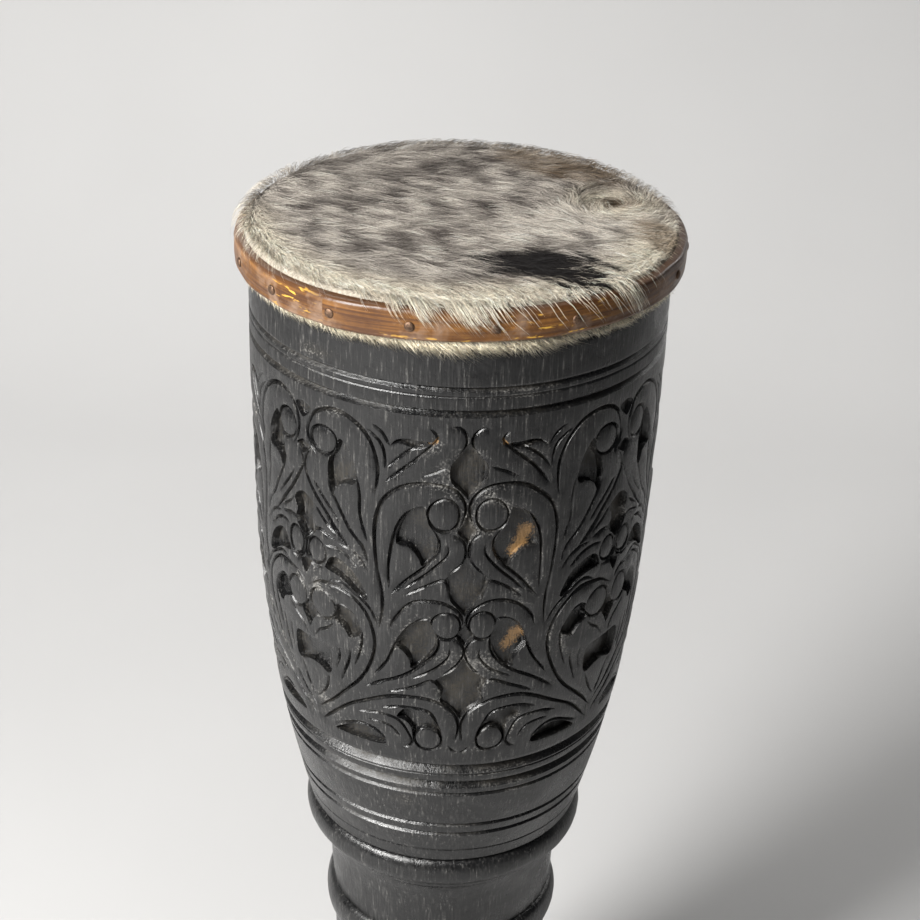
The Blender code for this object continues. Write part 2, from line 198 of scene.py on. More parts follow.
class Bench:
    """One material being made: its tree, its shader and the few nodes that finishes share."""

    def __init__(self, name: str) -> None:
        """Start a material of that name with an empty Principled shader."""
        self.material = bpy.data.materials.new(name)
        self.material.use_nodes = True
        self.tree = self.material.node_tree
        self.shader = self.tree.nodes["Principled BSDF"]

    def node(self, kind: str, settings: dict, sockets: dict, output: "str | int" = 0) -> Term:
        """Add one node.

        Args:
            kind: The node's type.
            settings: Its own settings, set before its sockets.
            sockets: Socket name or index to a value, a colour or a Term.
            output: The output socket to give back.

        Returns:
            The output as a Term.
        """
        made = self.tree.nodes.new(kind)
        for key, value in settings.items():
            setattr(made, key, value)
        for key, value in sockets.items():
            if isinstance(value, Term):
                self.tree.links.new(value.socket, made.inputs[key])
            else:
                made.inputs[key].default_value = value
        return Term(self, made.outputs[output])

    def carried(self, attribute: str, output: str) -> Term:
        """What the piece carries on its points: its Fac, Vector or Color."""
        return self.node("ShaderNodeAttribute", {"attribute_name": attribute}, {}, output)

    def noise(self, stretch: tuple, scale: float, detail: float, rough: float, attribute: str = "") -> Term:
        """Noise of 0 to 1 over a surface.

        Args:
            stretch: Scale along each axis, 1 for none.
            scale: Scale along all axes, in swells for a metre.
            detail: How many finer layers it has.
            rough: Strength of the finer layers.
            attribute: The piece's own coordinates, or nothing for its object coordinates.

        Returns:
            The noise as a Term.
        """
        if attribute:
            where = self.carried(attribute, "Vector")
        else:
            where = self.node("ShaderNodeTexCoord", {}, {}, "Object")
        where = self.node("ShaderNodeMapping", {}, {"Vector": where, "Scale": stretch}, "Vector")
        sockets = {"Vector": where, "Scale": scale, "Detail": detail, "Roughness": rough}
        return self.node("ShaderNodeTexNoise", {}, sockets, 0)

    def blend(self, share: Term, low: "Term | tuple", high: "Term | tuple") -> Term:
        """Mix two colours by a share."""
        ends = {k: (v if isinstance(v, Term) else (*v, 1.0)) for k, v in ((6, low), (7, high))}
        settings = {"data_type": "RGBA"}
        return self.node("ShaderNodeMix", settings, {0: share, **ends}, 2)

    def bump(self, relief: Term, distance: float, strength: float, under: "Term | None" = None) -> Term:
        """Bump from a height of 0 to 1 that stands for a distance in metres."""
        sockets = {"Height": relief, "Distance": distance, "Strength": strength}
        if under is not None:
            sockets["Normal"] = under
        return self.node("ShaderNodeBump", {}, sockets, 0)

    def finish(self, fixed: dict, linked: dict) -> bpy.types.Material:
        """Set the shader's even values and link what changes over the surface."""
        for key, value in fixed.items():
            self.shader.inputs[key].default_value = value
        for key, term in linked.items():
            self.tree.links.new(term.socket, self.shader.inputs[key])
        return self.material


@dataclass(frozen=True)
class EbonisedWood:
    """Black-stained wood: vertical grain, dusty cuts, pale rubbed edges with a painted glint, bare brown
    chips.
    """

    stain: tuple = (0.0050, 0.0050, 0.0053)
    rubbed: tuple = (0.036, 0.035, 0.034)
    dust: tuple = (0.034, 0.028, 0.019)
    bare: tuple = (0.20, 0.115, 0.045)
    # Pale specks in the grain, and the painted glint on rubbed edges
    speck_and_glint: tuple = (0.30, 0.29, 0.27)
    # Fibres in a metre across and along the grain, fine and broad
    grain: tuple = (900, 900, 75)
    streak: tuple = (260, 260, 7)
    # Patches and grains of dirt in a metre
    cloud: float = 34.0
    grit: float = 900.0
    specular: float = 0.55

    def material(self) -> bpy.types.Material:
        """Build the wood's shader."""
        bench = Bench("ebonised_wood")
        grain = bench.noise(self.grain, 1.0, 5.0, 0.62)
        streak = bench.noise(self.streak, 1.0, 3.0, 0.5)
        cloud = bench.noise(EVEN, self.cloud, 4.0, 0.6)
        grit = bench.noise(EVEN, self.grit, 2.0, 0.7)
        wear = grain * 0.65 + streak * 0.20 + cloud * 0.15
        base = bench.blend(wear.over(0.50, 0.66), self.stain, self.rubbed)
        tick = (grain * 0.75 + grit * 0.25).over(0.585, 0.65) * 0.24
        base = bench.blend(tick, base, self.speck_and_glint)
        dusty = bench.carried("dust", "Fac") * (cloud * 0.6 + grit * 0.4).over(0.47, 0.66)
        base = bench.blend(dusty, base, self.dust)
        # Pale specks along cut and groove lips: partly rubbed wear, partly a painted glint
        rubbed = bench.carried("edge", "Fac") * (grit * 0.45 + cloud * 0.55).over(0.565, 0.65)
        base = bench.blend(rubbed, base, self.speck_and_glint)
        chip = bench.carried("chip", "Fac") + grit * 1.1 + cloud * 0.5 - 0.80
        base = bench.blend(chip.over(0.30, 0.62), base, self.bare)
        rough = cloud.over(0.38, 0.62) * 0.20 + 0.12 + grain * 0.20 + dusty * 0.36
        relief = bench.bump(grain, 0.00040, 0.7)
        relief = bench.bump(cloud, 0.0026, 0.5, relief)
        linked = {"Base Color": base, "Roughness": rough, "Normal": relief}
        return bench.finish({"Specular IOR Level": self.specular}, linked)


@dataclass(frozen=True)
class VarnishedCane:
    """Orange-brown cane: long grain along the strip, a painted shadow of the hair along its upper edge, a
    dark scored line, yellow chips under varnish.
    """

    light: tuple = (0.24, 0.104, 0.023)
    deep: tuple = (0.075, 0.030, 0.011)
    dull: tuple = (0.23, 0.150, 0.102)
    chip: tuple = (0.66, 0.38, 0.06)
    # Fibres, bands and flakes in a metre along, up and through the strip
    grain: tuple = (14, 900, 60)
    band: tuple = (9, 220, 20)
    flake: tuple = (110, 520, 200)
    stain: tuple = (0.5, 1, 1)
    specular: float = 0.36
    varnish: float = 0.12
    varnish_rough: float = 0.22

    def material(self) -> bpy.types.Material:
        """Build the cane's shader on the strip's own coordinates."""
        bench = Bench("varnished_cane")
        grain = bench.noise(self.grain, 1.0, 5.0, 0.65, "strip")
        band = bench.noise(self.band, 1.0, 3.0, 0.5, "strip")
        cloud = bench.noise(EVEN, 55.0, 4.0, 0.6, "strip")
        flake = bench.noise(self.flake, 1.0, 3.0, 0.6, "strip")
        fibre = grain * 0.40 + band * 0.35 + cloud * 0.25
        base = bench.blend(fibre.over(0.43, 0.58), self.deep, self.light)
        base = bench.blend(cloud.over(0.50, 0.62) * 0.85, base, self.dull)
        stain = bench.noise(self.stain, 210.0, 3.0, 0.6, "strip")
        base = bench.blend(stain.over(0.54, 0.66) * 0.6, base, self.deep)
        # Darker along the upper edge as a painted shadow of the overhanging hair, and in the scored line
        base = bench.blend(bench.carried("edge", "Fac"), base, self.deep)
        base = bench.blend(flake.over(0.60, 0.64) * bench.carried("chip", "Fac"), base, self.chip)
        rough = 0.24 + cloud * 0.34
        relief = bench.bump(grain, 0.0004, 0.5)
        relief = bench.bump(cloud, 0.0022, 0.55, relief)
        fixed = {"Specular IOR Level": self.specular, "Coat Weight": self.varnish,
                 "Coat Roughness": self.varnish_rough}
        linked = {"Base Color": base, "Roughness": rough, "Normal": relief}
        return bench.finish(fixed, linked)


@dataclass(frozen=True)
class BrownedIron:
    """Old nail heads: brown iron, brighter where they are rubbed."""

    dark: tuple = (0.075, 0.045, 0.030)
    light: tuple = (0.20, 0.120, 0.075)
    rust: float = 900.0
    metallic: float = 0.75

    def material(self) -> bpy.types.Material:
        """Build the iron's shader."""
        bench = Bench("browned_iron")
        patch = bench.noise(EVEN, self.rust, 4.0, 0.6)
        base = bench.blend(patch.over(0.35, 0.65), self.dark, self.light)
        relief = bench.bump(patch, 0.0004, 0.6)
        linked = {"Base Color": base, "Roughness": 0.35 + patch * 0.3, "Normal": relief}
        return bench.finish({"Metallic": self.metallic}, linked)


@dataclass(frozen=True)
class Hide:
    """The skin under the hair, coloured by the coat's own pattern."""

    shade: tuple = (0.04, 0.033, 0.028)
    weave: tuple = (500, 1100, 500)
    roughness: float = 0.85

    def material(self) -> bpy.types.Material:
        """Build the hide's shader."""
        bench = Bench("hide")
        coat = bench.carried("coat", "Color")
        fine = bench.noise(self.weave, 1.0, 4.0, 0.6)
        base = bench.blend(fine.over(0.35, 0.7) * 0.7, coat, self.shade)
        relief = bench.bump(fine, 0.0008, 0.8)
        return bench.finish({"Roughness": self.roughness}, {"Base Color": base, "Normal": relief})


@dataclass(frozen=True)
class GoatHair:
    """Hair that carries its own colour on its points."""

    shade: tuple = (0.012, 0.009, 0.007)
    streak: float = 1400.0
    specular: float = 0.14

    def material(self) -> bpy.types.Material:
        """Build the hair's shader."""
        bench = Bench("goat_hair")
        coat = bench.carried("coat", "Color")
        streak = bench.noise(EVEN, self.streak, 2.0, 0.6)
        base = bench.blend(streak.over(0.3, 0.75) * 0.25, coat, self.shade)
        linked = {"Base Color": base, "Roughness": 0.42 + streak * 0.2}
        return bench.finish({"Specular IOR Level": self.specular}, linked)


def wrap(radius: Array, azimuth: Array, height: Array) -> Array:
    """Places on a turned surface: azimuth in degrees from -Y towards +X.

    Args:
        radius: Distances from the axis.
        azimuth: Azimuths in degrees.
        height: Heights above the floor.

    Returns:
        An array of points, one row each.
    """
    turn = np.radians(azimuth)
    return np.stack([radius * np.sin(turn), -radius * np.cos(turn), height + 0 * turn], -1)


def azimuth_of(x: Array, y: Array) -> Array:
    """Azimuths in degrees of places round the axis."""
    return np.degrees(np.arctan2(x, -y))


def make_piece(name: str, verts: Array, faces: Array, material: bpy.types.Material,
               marks: "dict[str, Array] | None" = None, sharp: float = 40.0) -> bpy.types.Object:
    """Put arrays of points and faces into a mesh that rides on the drum.

    Args:
        name: The piece's name.
        verts: Points, one row each.
        faces: Corner numbers, one row each, with -1 for a corner that a triangle lacks.
        material: The finish.
        marks: Attribute name to a value, vector or colour for each point.
        sharp: Angle in degrees over which an edge stays sharp.

    Returns:
        The new object.
    """
    mesh = bpy.data.meshes.new(name)
    sizes = (faces >= 0).sum(1)
    starts = np.concatenate([[0], np.cumsum(sizes)[:-1]])
    corners = faces[faces >= 0]
    mesh.vertices.add(len(verts))
    mesh.vertices.foreach_set("co", verts.astype(np.float32).ravel())
    mesh.loops.add(len(corners))
    mesh.loops.foreach_set("vertex_index", corners.astype(np.int32))
    mesh.polygons.add(len(faces))
    mesh.polygons.foreach_set("loop_start", starts.astype(np.int32))
    mesh.polygons.foreach_set("loop_total", sizes.astype(np.int32))
    mesh.update(calc_edges=True)
    for key, values in (marks or {}).items():
        kinds = {1: ("FLOAT", "value"), 3: ("FLOAT_VECTOR", "vector"), 4: ("FLOAT_COLOR", "color")}
        kind, setter = kinds[1 if values.ndim == 1 else values.shape[1]]
        layer = mesh.attributes.new(key, kind, "POINT")
        layer.data.foreach_set(setter, values.astype(np.float32).ravel())
    mesh.shade_smooth()
    mesh.set_sharp_from_angle(angle=math.radians(sharp))
    mesh.materials.append(material)
    piece = bpy.data.objects.new(name, mesh)
    bpy.context.scene.collection.objects.link(piece)
    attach(piece, "root")
    LOG.info("%s: %d points, %d faces", name, len(verts), len(faces))
    return piece


def grid_faces(rows: int, columns: int, closed: bool) -> Array:
    """Quads between neighbouring rows of a grid, going round each row if it is closed.

    Args:
        rows: Number of rows.
        columns: Points in one row.
        closed: Whether a row's end joins its start.

    Returns:
        Corner numbers, one row for each quad.
    """
    row, column = np.meshgrid(np.arange(rows - 1), np.arange(columns - (not closed)), indexing="ij")
    after = (column + 1) % columns
    quad = [row * columns + column, row * columns + after, (row + 1) * columns + after,
            (row + 1) * columns + column]
    return np.stack(quad, -1).reshape(-1, 4)


def capped_faces(rows: int, columns: int) -> Array:
    """Faces of a turned shape, facing outwards, whose two poles come after its rings.

    Args:
        rows: Number of rings.
        columns: Points in one ring.

    Returns:
        Corner numbers of the quads between the rings and of a fan at each pole.
    """
    first = np.arange(columns)
    last = first + (rows - 1) * columns
    pole = rows * columns
    fans = [np.stack([first, np.roll(first, -1), 0 * first + pole, 0 * first - 1], -1),
            np.stack([np.roll(last, -1), last, 0 * last + pole + 1, 0 * last - 1], -1)]
    return np.vstack([grid_faces(rows, columns, True)[:, ::-1], *fans])


def flow(points: Points, step: float, closed: bool = False) -> Array:
    """A smooth line through a few places, sampled evenly.

    Each stretch is the cubic that passes both its ends with the slope of the chord between
    their neighbours, and the samples are then spread by arc length.

    Args:
        points: Places that the line passes.
        step: Spacing of the samples.
        closed: Whether the line returns to its start.

    Returns:
        The sampled places; a closed line doesn't repeat its first.
    """
    knots = np.array(points, float)
    if closed:
        knots = np.vstack([knots[-1:], knots, knots[:2]])
    else:
        knots = np.vstack([2 * knots[0] - knots[1], knots, 2 * knots[-1] - knots[-2]])
    before, start, end, after = knots[:-3], knots[1:-2], knots[2:-1], knots[3:]
    t = np.linspace(0, 1, FLOW_SAMPLES, endpoint=False)[:, None, None]
    slope_in, slope_out = (end - before) / 2, (after - start) / 2
    curve = ((2 * t ** 3 - 3 * t ** 2 + 1) * start + (t ** 3 - 2 * t ** 2 + t) * slope_in
             + (3 * t ** 2 - 2 * t ** 3) * end + (t ** 3 - t ** 2) * slope_out)
    curve = curve.transpose(1, 0, 2).reshape(-1, 2)
    curve = np.vstack([curve, end[-1:]])
    length = np.concatenate([[0], np.cumsum(np.hypot(*np.diff(curve, axis=0).T))])
    count = max(3, int(round(length[-1] / step)) + 1)
    where = np.linspace(0, length[-1], count)
    line = np.stack([np.interp(where, length, curve[:, k]) for k in (0, 1)], -1)
    return line[:-1] if closed else line


def nearest(spots: Array, line: Array) -> tuple[Array, Array]:
    """Distance from places to a chain of straight pieces.

    Args:
        spots: Places, one row each.
        line: The chain's corners.

    Returns:
        Distance, and arc length at the nearest place.
    """
    start, way = line[:-1], np.diff(line, axis=0)
    long = np.maximum((way ** 2).sum(1), 1e-12)
    from_start = spots[:, None] - start[None]
    share = np.clip((from_start * way).sum(2) / long, 0, 1)
    gap = np.hypot(*np.moveaxis(from_start - share[..., None] * way, 2, 0))
    best = gap.argmin(1)
    pick = np.arange(len(spots))
    before = np.concatenate([[0], np.cumsum(np.sqrt(long))[:-1]])
    return gap[pick, best], before[best] + share[pick, best] * np.sqrt(long[best])


def within(spots: Array, outline: Array) -> Array:
    """Whether places lie inside a closed outline: an odd number of its sides lies to their right."""
    ends = np.roll(outline, -1, axis=0)
    low, high = outline[:, 1], ends[:, 1]
    crosses = (low[None] > spots[:, 1:]) != (high[None] > spots[:, 1:])
    rise = np.where(np.abs(high - low) < 1e-12, 1e-12, high - low)
    reach = outline[:, 0] + (spots[:, 1:] - low) * (ends[:, 0] - outline[:, 0]) / rise
    return (crosses & (spots[:, :1] < reach)).sum(1) % 2 == 1


class Cut(Enum):
    """Which axis a pocket opens on: none, the tree's root, or the valley between trees."""

    FREE = "free"
    ROOT = "root"
    VALLEY = "valley"


@dataclass(frozen=True)
class Pocket:
    """A deep cut with steep walls: its outline, or its open side line when it meets an axis."""

    points: Points
    opens: Cut = Cut.FREE
    depth: float = 1.0


@dataclass(frozen=True)
class Groove:
    """A V cut that tapers to both ends."""

    points: Points
    width: float = 1.0


@dataclass(frozen=True)
class Boss:
    """The round end of a scroll, a low dome inside a thin ring cut."""

    middle: tuple[float, float]
    radii: tuple[float, float]

    def ring(self, step: float) -> Array:
        """The oval that the ring cut follows, closed on its first place."""
        count = int(2 * math.pi * max(self.radii) / step)
        turns = np.linspace(0, 2 * math.pi, count + 1)
        return np.array(self.middle) + np.stack([np.cos(turns), np.sin(turns)], -1) * self.radii


@dataclass
class PalmetteDrawing:
    """Half of one palmette tree on the flat sheet, and the height of its carved surface."""

    width: float = 47.5
    height: float = 97.0
    unit: float = 2.02 * MM
    step: float = 1.15
    groove_half: float = 0.54
    groove_depth: float = 1.9 * MM
    ring_half: float = 0.42
    ring_depth: float = 1.3 * MM
    arris: float = 0.36
    arris_drop: float = 0.20 * MM
    shoulder: float = 0.52 * MM
    pocket_depth: float = 4.1 * MM
    wall: float = 0.40
    # A groove's tips fade over this length, by this power of the way
    tip: float = 4.5
    tip_power: float = 0.6
    # How wide a groove's soft shoulder and a rubbed edge with its painted glint reach
    shoulder_reach: float = 2.6
    rub_and_glint_reach: float = 0.30
    # Points on the border: stretches along U and places along V
    border: int = 20
    border_rise: int = 61
    # Filling points: pitch, rows' share of it, play, and distance from lines and from the valley
    pitch: float = 1.75
    row_share: float = 0.87
    play: float = 0.25
    clearance: float = 0.75
    valley_clearance: float = 0.6
    seed: int = 11

    def pockets(self) -> list[Pocket]:
        """Deep cuts between the leaves, bottom to top."""
        edge = self.width
        return [
            Pocket(((6.7, 1.2), (11.3, 3.9), (15.7, 4.9), (19.6, 4.6), (24.3, 2.2), (23.3, 0.8),
                    (11.3, 0.8))),
            Pocket(((30.7, 14), (32.8, 14.5), (37.1, 13.2), (40.1, 10.9), (42.3, 6.6), (42.6, 4.4),
                    (40.9, 7.5), (38.1, 8.9), (35.4, 7.6), (34.3, 4.6), (33.7, 3.2), (33.5, 8.4),
                    (31.2, 10.5), (28.8, 10.9))),
            Pocket(((0, 27.1), (6.6, 26.9), (7.9, 24.1), (7.9, 21.5), (7.3, 19.2), (5.6, 18.2),
                    (2.6, 19.4), (0, 19.8)), Cut.ROOT),
            Pocket(((10.3, 40.6), (12.9, 41), (15.9, 39.4), (17.9, 36.7), (18.3, 34), (16.3, 33),
                    (14.2, 32.2), (12.6, 34.4), (10.3, 35.5), (9, 36.2), (10.2, 38.4))),
            Pocket(((0, 38.6), (3, 35.4), (1.7, 33.3), (0, 30.4)), Cut.ROOT),
            Pocket(((20.6, 45.4), (19.4, 48.8), (16.8, 52.2), (13.4, 54.4), (10.4, 54.7), (8.4, 53.2),
                    (7.2, 50.4), (9.1, 50), (12.1, 49.4), (15.1, 47.9), (18, 45.9))),
            Pocket(((0, 51), (2.2, 50.2), (1.3, 47.8), (0, 46.3)), Cut.ROOT, 0.7),
            Pocket(((0, 56), (3.4, 58.6), (4.4, 60.7), (3.2, 63.2), (4.4, 66.3), (2.2, 68.3),
                    (0, 69)), Cut.ROOT),
            Pocket(((34.1, 41.2), (36.1, 42), (38.1, 42.2), (38.4, 40.4), (39.8, 37.7), (40.1, 35),
                    (39.1, 32.4), (37.1, 29.4), (34.8, 27.5), (33.1, 27.5), (33.1, 29.2), (32, 31),
                    (30.5, 32.4), (29, 33.6), (29.8, 35.7), (31.6, 39))),
            Pocket(((edge, 12.2), (44.6, 14.9), (41.0, 17.6), (41.7, 20.4), (39.9, 24.1), (42.6, 26.0),
                    (45.2, 27.6), (edge, 31)), Cut.VALLEY),
            Pocket(((edge, 34.7), (45.6, 36.7), (44.2, 37.2), (46.4, 39.4), (edge, 42)), Cut.VALLEY, 0.8),
            Pocket(((edge, 43.3), (45.9, 45.1), (43.2, 48.6), (42.6, 51.2), (41.6, 53.8), (43.4, 55.6),
                    (45.6, 57.2), (edge, 60.4)), Cut.VALLEY),
            Pocket(((edge, 63.8), (45.6, 66.3), (44.6, 67.4), (46.3, 69.6),
                    (edge, 72.4)), Cut.VALLEY, 0.8),
            Pocket(((edge, 75.4), (45.9, 77.2), (42.9, 80.2), (42.3, 82.9), (42.9, 85.2), (44.9, 87.2),
                    (46.4, 89), (edge, 90.8)), Cut.VALLEY),
            Pocket(((31.2, 70.8), (33.8, 72.5), (36.3, 73.4), (36.8, 71.1), (37.5, 68.8), (39.2, 66.6),
                    (40.2, 64.2), (40.1, 61.5), (38.8, 59.5), (35.9, 57.2), (35.0, 59.0), (33.6, 60.9),
                    (31.3, 62.4), (28.4, 62.5), (28.6, 66))),
            Pocket(((12.2, 87.2), (14.6, 85.2), (16.5, 82.4), (17.3, 79), (17, 76.2), (14.2, 76),
                    (11.9, 74.9), (10.4, 72.2), (9.3, 72.4), (8.7, 75), (8.6, 78), (9.2, 80.9),
                    (10.8, 82.8), (11.6, 84.9))),
            Pocket(((0, 83.2), (2.9, 81.6), (1.4, 80.2), (0, 79.2)), Cut.ROOT, 0.8),
            Pocket(((0, 93.4), (3.2, 92.4), (2.0, 90.4), (0, 88.9)), Cut.ROOT, 0.6),
            Pocket(((26.9, 88.7), (28.5, 90.3), (31.2, 90.9), (34.5, 90.6), (38, 90.3), (35.1, 88.6),
                    (32.2, 88.9), (29.4, 89.6)), Cut.FREE, 0.8),
        ]

    def grooves(self) -> list[Groove]:
        """V cuts that part one leaf from the next and vein the leaves."""
        return [
            Groove(((0.3, 4.9), (8.9, 12.5), (16.6, 19.2), (20.9, 26.1), (22.7, 34.4), (20.2, 41.4),
                    (13.9, 45.9), (6.3, 45.9), (0.7, 42.9)), 1.15),
            Groove(((10.4, 40.8), (12.9, 41.2), (15.9, 39.6), (18.3, 35.6), (18.2, 31.4), (15.6, 23.8))),
            Groove(((13.9, 28.8), (13.6, 24.8), (12.3, 21.1), (10.9, 17.8))),
            Groove(((9.8, 28.1), (10.4, 24.8), (9.4, 20.5))),
            Groove(((6, 18.2), (3.3, 12.5), (0.3, 8.9))),
            Groove(((1.3, 27.8), (3.4, 30.6), (6.4, 32.4), (9.4, 34.8)), 0.9),
            Groove(((1.2, 1.4), (9.6, 8.5), (19.6, 14.2), (29.5, 18), (37.8, 18), (44.4, 14.8),
                    (47.1, 10.4), (46.4, 4.6)), 1.15),
            Groove(((23.9, 13.2), (30.5, 14.8), (37.8, 13.9), (41.1, 9.5), (42.9, 4.4))),
            Groove(((16.2, 9.5), (22.9, 10.9), (29.5, 10), (33.2, 4.6), (32.2, 2.2), (29.5, 1.1))),
            Groove(((19.2, 7.9), (26.2, 7.2), (29.8, 4.2)), 0.9),
            Groove(((6.3, 2.7), (14.6, 5.4), (20, 5.2), (25, 2.2)), 0.9),
            Groove(((44.2, 3.4), (45.3, 1.6), (47.4, 0.9)), 0.9),
            Groove(((7.6, 46.9), (12.1, 48.2), (16.6, 46.4), (21.2, 43.2), (24.3, 38.6)), 0.9),
            Groove(((11.6, 59.8), (5.5, 60.6), (2.2, 59), (0.3, 55.6), (0.4, 52.4), (2.3, 50.2),
                    (4.8, 49.6), (6.9, 50.2)), 1.1),
            Groove(((18.2, 53.6), (14.6, 56.5), (11, 57.6), (7.6, 57.2))),
            Groove(((11.9, 59.4), (17, 57.9), (21, 53.8)), 0.9),
            Groove(((11.6, 61.2), (7.4, 63.6), (4.6, 66.6)), 0.9),
            Groove(((24.4, 37.9), (24.8, 43.4), (24.5, 48.3), (23.5, 55.2), (22.5, 64), (23.6, 71),
                    (26.2, 75.1), (31.8, 78.8), (38.1, 79.6), (43.8, 78.1), (46.9, 74), (46.2, 69.6),
                    (44.4, 67.3)), 1.15),
            Groove(((27.3, 38.4), (28.5, 42), (31.7, 45.7), (36.1, 47.5), (41.4, 47.5), (45.4, 45),
                    (47, 41.6), (46.2, 38.9)), 1.1),
            Groove(((22.2, 23.1), (26.5, 28.8), (29.3, 34.4), (32.2, 39.7), (36.1, 42.3), (38.6, 42.4))),
            Groove(((18.9, 18.2), (25.2, 21.8), (33.5, 26.4), (39.1, 31.4), (40.3, 35.6),
                    (38.9, 39.6)), 1.05),
            Groove(((33.8, 24.5), (39.5, 27.4), (43.1, 31.1), (43.2, 34.2)), 0.95),
            Groove(((43.8, 36.9), (46.2, 35.6), (47.4, 32.6), (45.8, 29), (42, 25.8)), 1.0),
            Groove(((26.2, 18.6), (33.8, 21.8), (39.3, 24.1), (41.7, 20.8), (40.5, 17.6)), 0.95),
            Groove(((36.6, 73.7), (31.2, 70.9), (28, 65.8), (26.9, 58.5), (26.8, 50))),
            Groove(((27.3, 48.4), (32.8, 53.9), (39.2, 60.2), (40.4, 64.4), (38.1, 68.4))),
            Groove(((31.4, 50.4), (38.8, 56.9), (42.6, 61), (42.4, 64.4)), 0.95),
            Groove(((43.4, 67), (46.6, 64.6), (46.8, 59.2), (42.8, 55.4)), 1.0),
            Groove(((31.8, 48.6), (36.1, 51.2), (41.5, 53.8), (42.8, 50.9), (43, 48.4)), 0.95),
            Groove(((22.5, 74.5), (23.4, 81.8), (21.5, 88.1), (16.6, 92.4), (10.3, 94), (4.6, 92),
                    (1.8, 87.1), (2.6, 83.2), (4.6, 80.6)), 1.15),
            Groove(((8.3, 76.4), (10, 72.2), (14.9, 64.5), (19.2, 60.2), (20.9, 56)), 1.0),
            Groove(((17.2, 79), (18.4, 73.6), (18.7, 67.6), (20.6, 61.8)), 0.95),
            Groove(((3.2, 82), (0.8, 79), (0.6, 75.4), (4.3, 70), (11.5, 62.5), (16.6, 57.9)), 1.05),
            Groove(((3.7, 73.9), (7.6, 69.4), (12.6, 64.4)), 0.85),
            Groove(((7.9, 65.2), (13, 60.6)), 0.8),
            Groove(((25.5, 78.4), (30.5, 83.4), (36.1, 88.1), (39.4, 91.4), (37.1, 93.9)), 1.05),
            Groove(((25.6, 82.2), (25.5, 85.4), (24.2, 88.7), (19.9, 91.7)), 0.9),
            Groove(((25.9, 82.6), (29.4, 86.2), (32.8, 88.6), (36.2, 89.2)), 0.9),
            Groove(((26.9, 88.4), (24.5, 91.4), (21.4, 93.2)), 0.85),
            Groove(((42.4, 94.1), (44.7, 94.4), (46.5, 92.6), (46.8, 90.2), (45.6, 87.9),
                    (43.4, 86.1)), 1.0),
            Groove(((34.6, 81.4), (38.1, 82.8), (42, 84.4)), 0.85),
        ]

    def bosses(self) -> list[Boss]:
        """Round scroll ends."""
        return [Boss((38.3, 5.0), (4.0, 3.7)), Boss((5.5, 39.0), (4.6, 4.2)), Boss((4.2, 54.2), (3.3, 3.5)),
                Boss((42.4, 40.4), (4.0, 4.0)), Boss((41.2, 71.4), (4.1, 4.2)), Boss((7.3, 85.2), (4.2, 3.8))]

    def lines(self) -> list[Array]:
        """Every line that the mesh has to follow: groove middles and sides, pocket rims and feet."""
        drawn = []
        for groove in self.grooves():
            middle = flow(groove.points, self.step)
            fade = np.sin(np.linspace(0, math.pi, len(middle)))[:, None] ** 0.5
            drawn.append(middle)
            for reach in (self.groove_half * groove.width, self.groove_half * groove.width + self.arris):
                side = self._side(middle) * reach * fade
                drawn += [(middle + side)[1:-1], (middle - side)[1:-1]]
        for boss in self.bosses():
            ring = boss.ring(self.step)
            side = self._side(ring) * self.ring_half
            drawn += [ring, ring + side, ring - side, ring + side * 2]
        for pocket in self.pockets():
            rim = flow(pocket.points, self.step, pocket.opens is Cut.FREE)
            if pocket.opens is Cut.FREE:
                rim = np.vstack([rim, rim[:1]])
            side = self._side(rim)
            inward = -side if self._turns_right(rim) else side
            drawn += [rim - inward * self.arris, rim, rim + inward * self.wall]
            drawn.append(rim + inward * self.wall * 2.4)
        return drawn

    @staticmethod
    def _side(line: Array) -> Array:
        """Unit arrows to the left of a line at each of its places."""
        return quarter_left(level_unit(np.gradient(line, axis=0)))

    @staticmethod
    def _turns_right(line: Array) -> bool:
        """Whether a closed line runs clockwise, from the sign of its area."""
        after = np.roll(line, -1, axis=0)
        return float((line[:, 0] * after[:, 1] - after[:, 0] * line[:, 1]).sum()) < 0

    def sheet(self) -> tuple[Array, Array]:
        """Triangulate the sheet along its lines.

        Returns:
            Places (U, V) and triangles.
        """
        places, edges = [], []
        frame_u = np.linspace(0, self.width, self.border + 1)
        rise = np.linspace(0, self.height, self.border_rise)
        frame = np.vstack([np.stack([frame_u, 0 * frame_u], -1),
                           np.stack([0 * rise + self.width, rise], -1)[1:],
                           np.stack([frame_u[::-1], 0 * frame_u + self.height], -1)[1:],
                           np.stack([0 * rise, rise[::-1]], -1)[1:]])
        drawn = self.lines()
        for line in drawn + [frame]:
            line = np.clip(line, (0, 0), (self.width, self.height))
            start = len(places)
            places += [Vector(p) for p in line.tolist()]
            edges += [(start + i, start + i + 1) for i in range(len(line) - 1)]
        known = np.vstack(drawn)
        rng = np.random.default_rng(self.seed)
        columns = int(self.width / self.pitch)
        rows = int(self.height / (self.pitch * self.row_share))
        for j in range(1, rows):
            for i in range(1, columns):
                spot = ((i + 0.5 * (j % 2)) * self.pitch, j * self.pitch * self.row_share)
                spot = np.array(spot) + rng.uniform(-self.play, self.play, 2) * self.pitch
                gap = np.hypot(*(known - spot).T).min()
                if gap > self.clearance and spot[0] < self.width - self.valley_clearance:
                    places.append(Vector(spot.tolist()))
        places, _, triangles, *_ = delaunay_2d_cdt(places, edges, [], 0, 1e-4)
        spots = np.array([tuple(p) for p in places])
        corners = np.array(triangles, int)
        keep = self._area(spots, corners) > 1e-7
        return spots, corners[keep]

    @staticmethod
    def _area(spots: Array, corners: Array) -> Array:
        """Twice the area of each triangle."""
        a, b, c = (spots[corners[:, k]] for k in range(3))
        ab, ac = b - a, c - a
        return np.abs(ab[:, 0] * ac[:, 1] - ab[:, 1] * ac[:, 0])

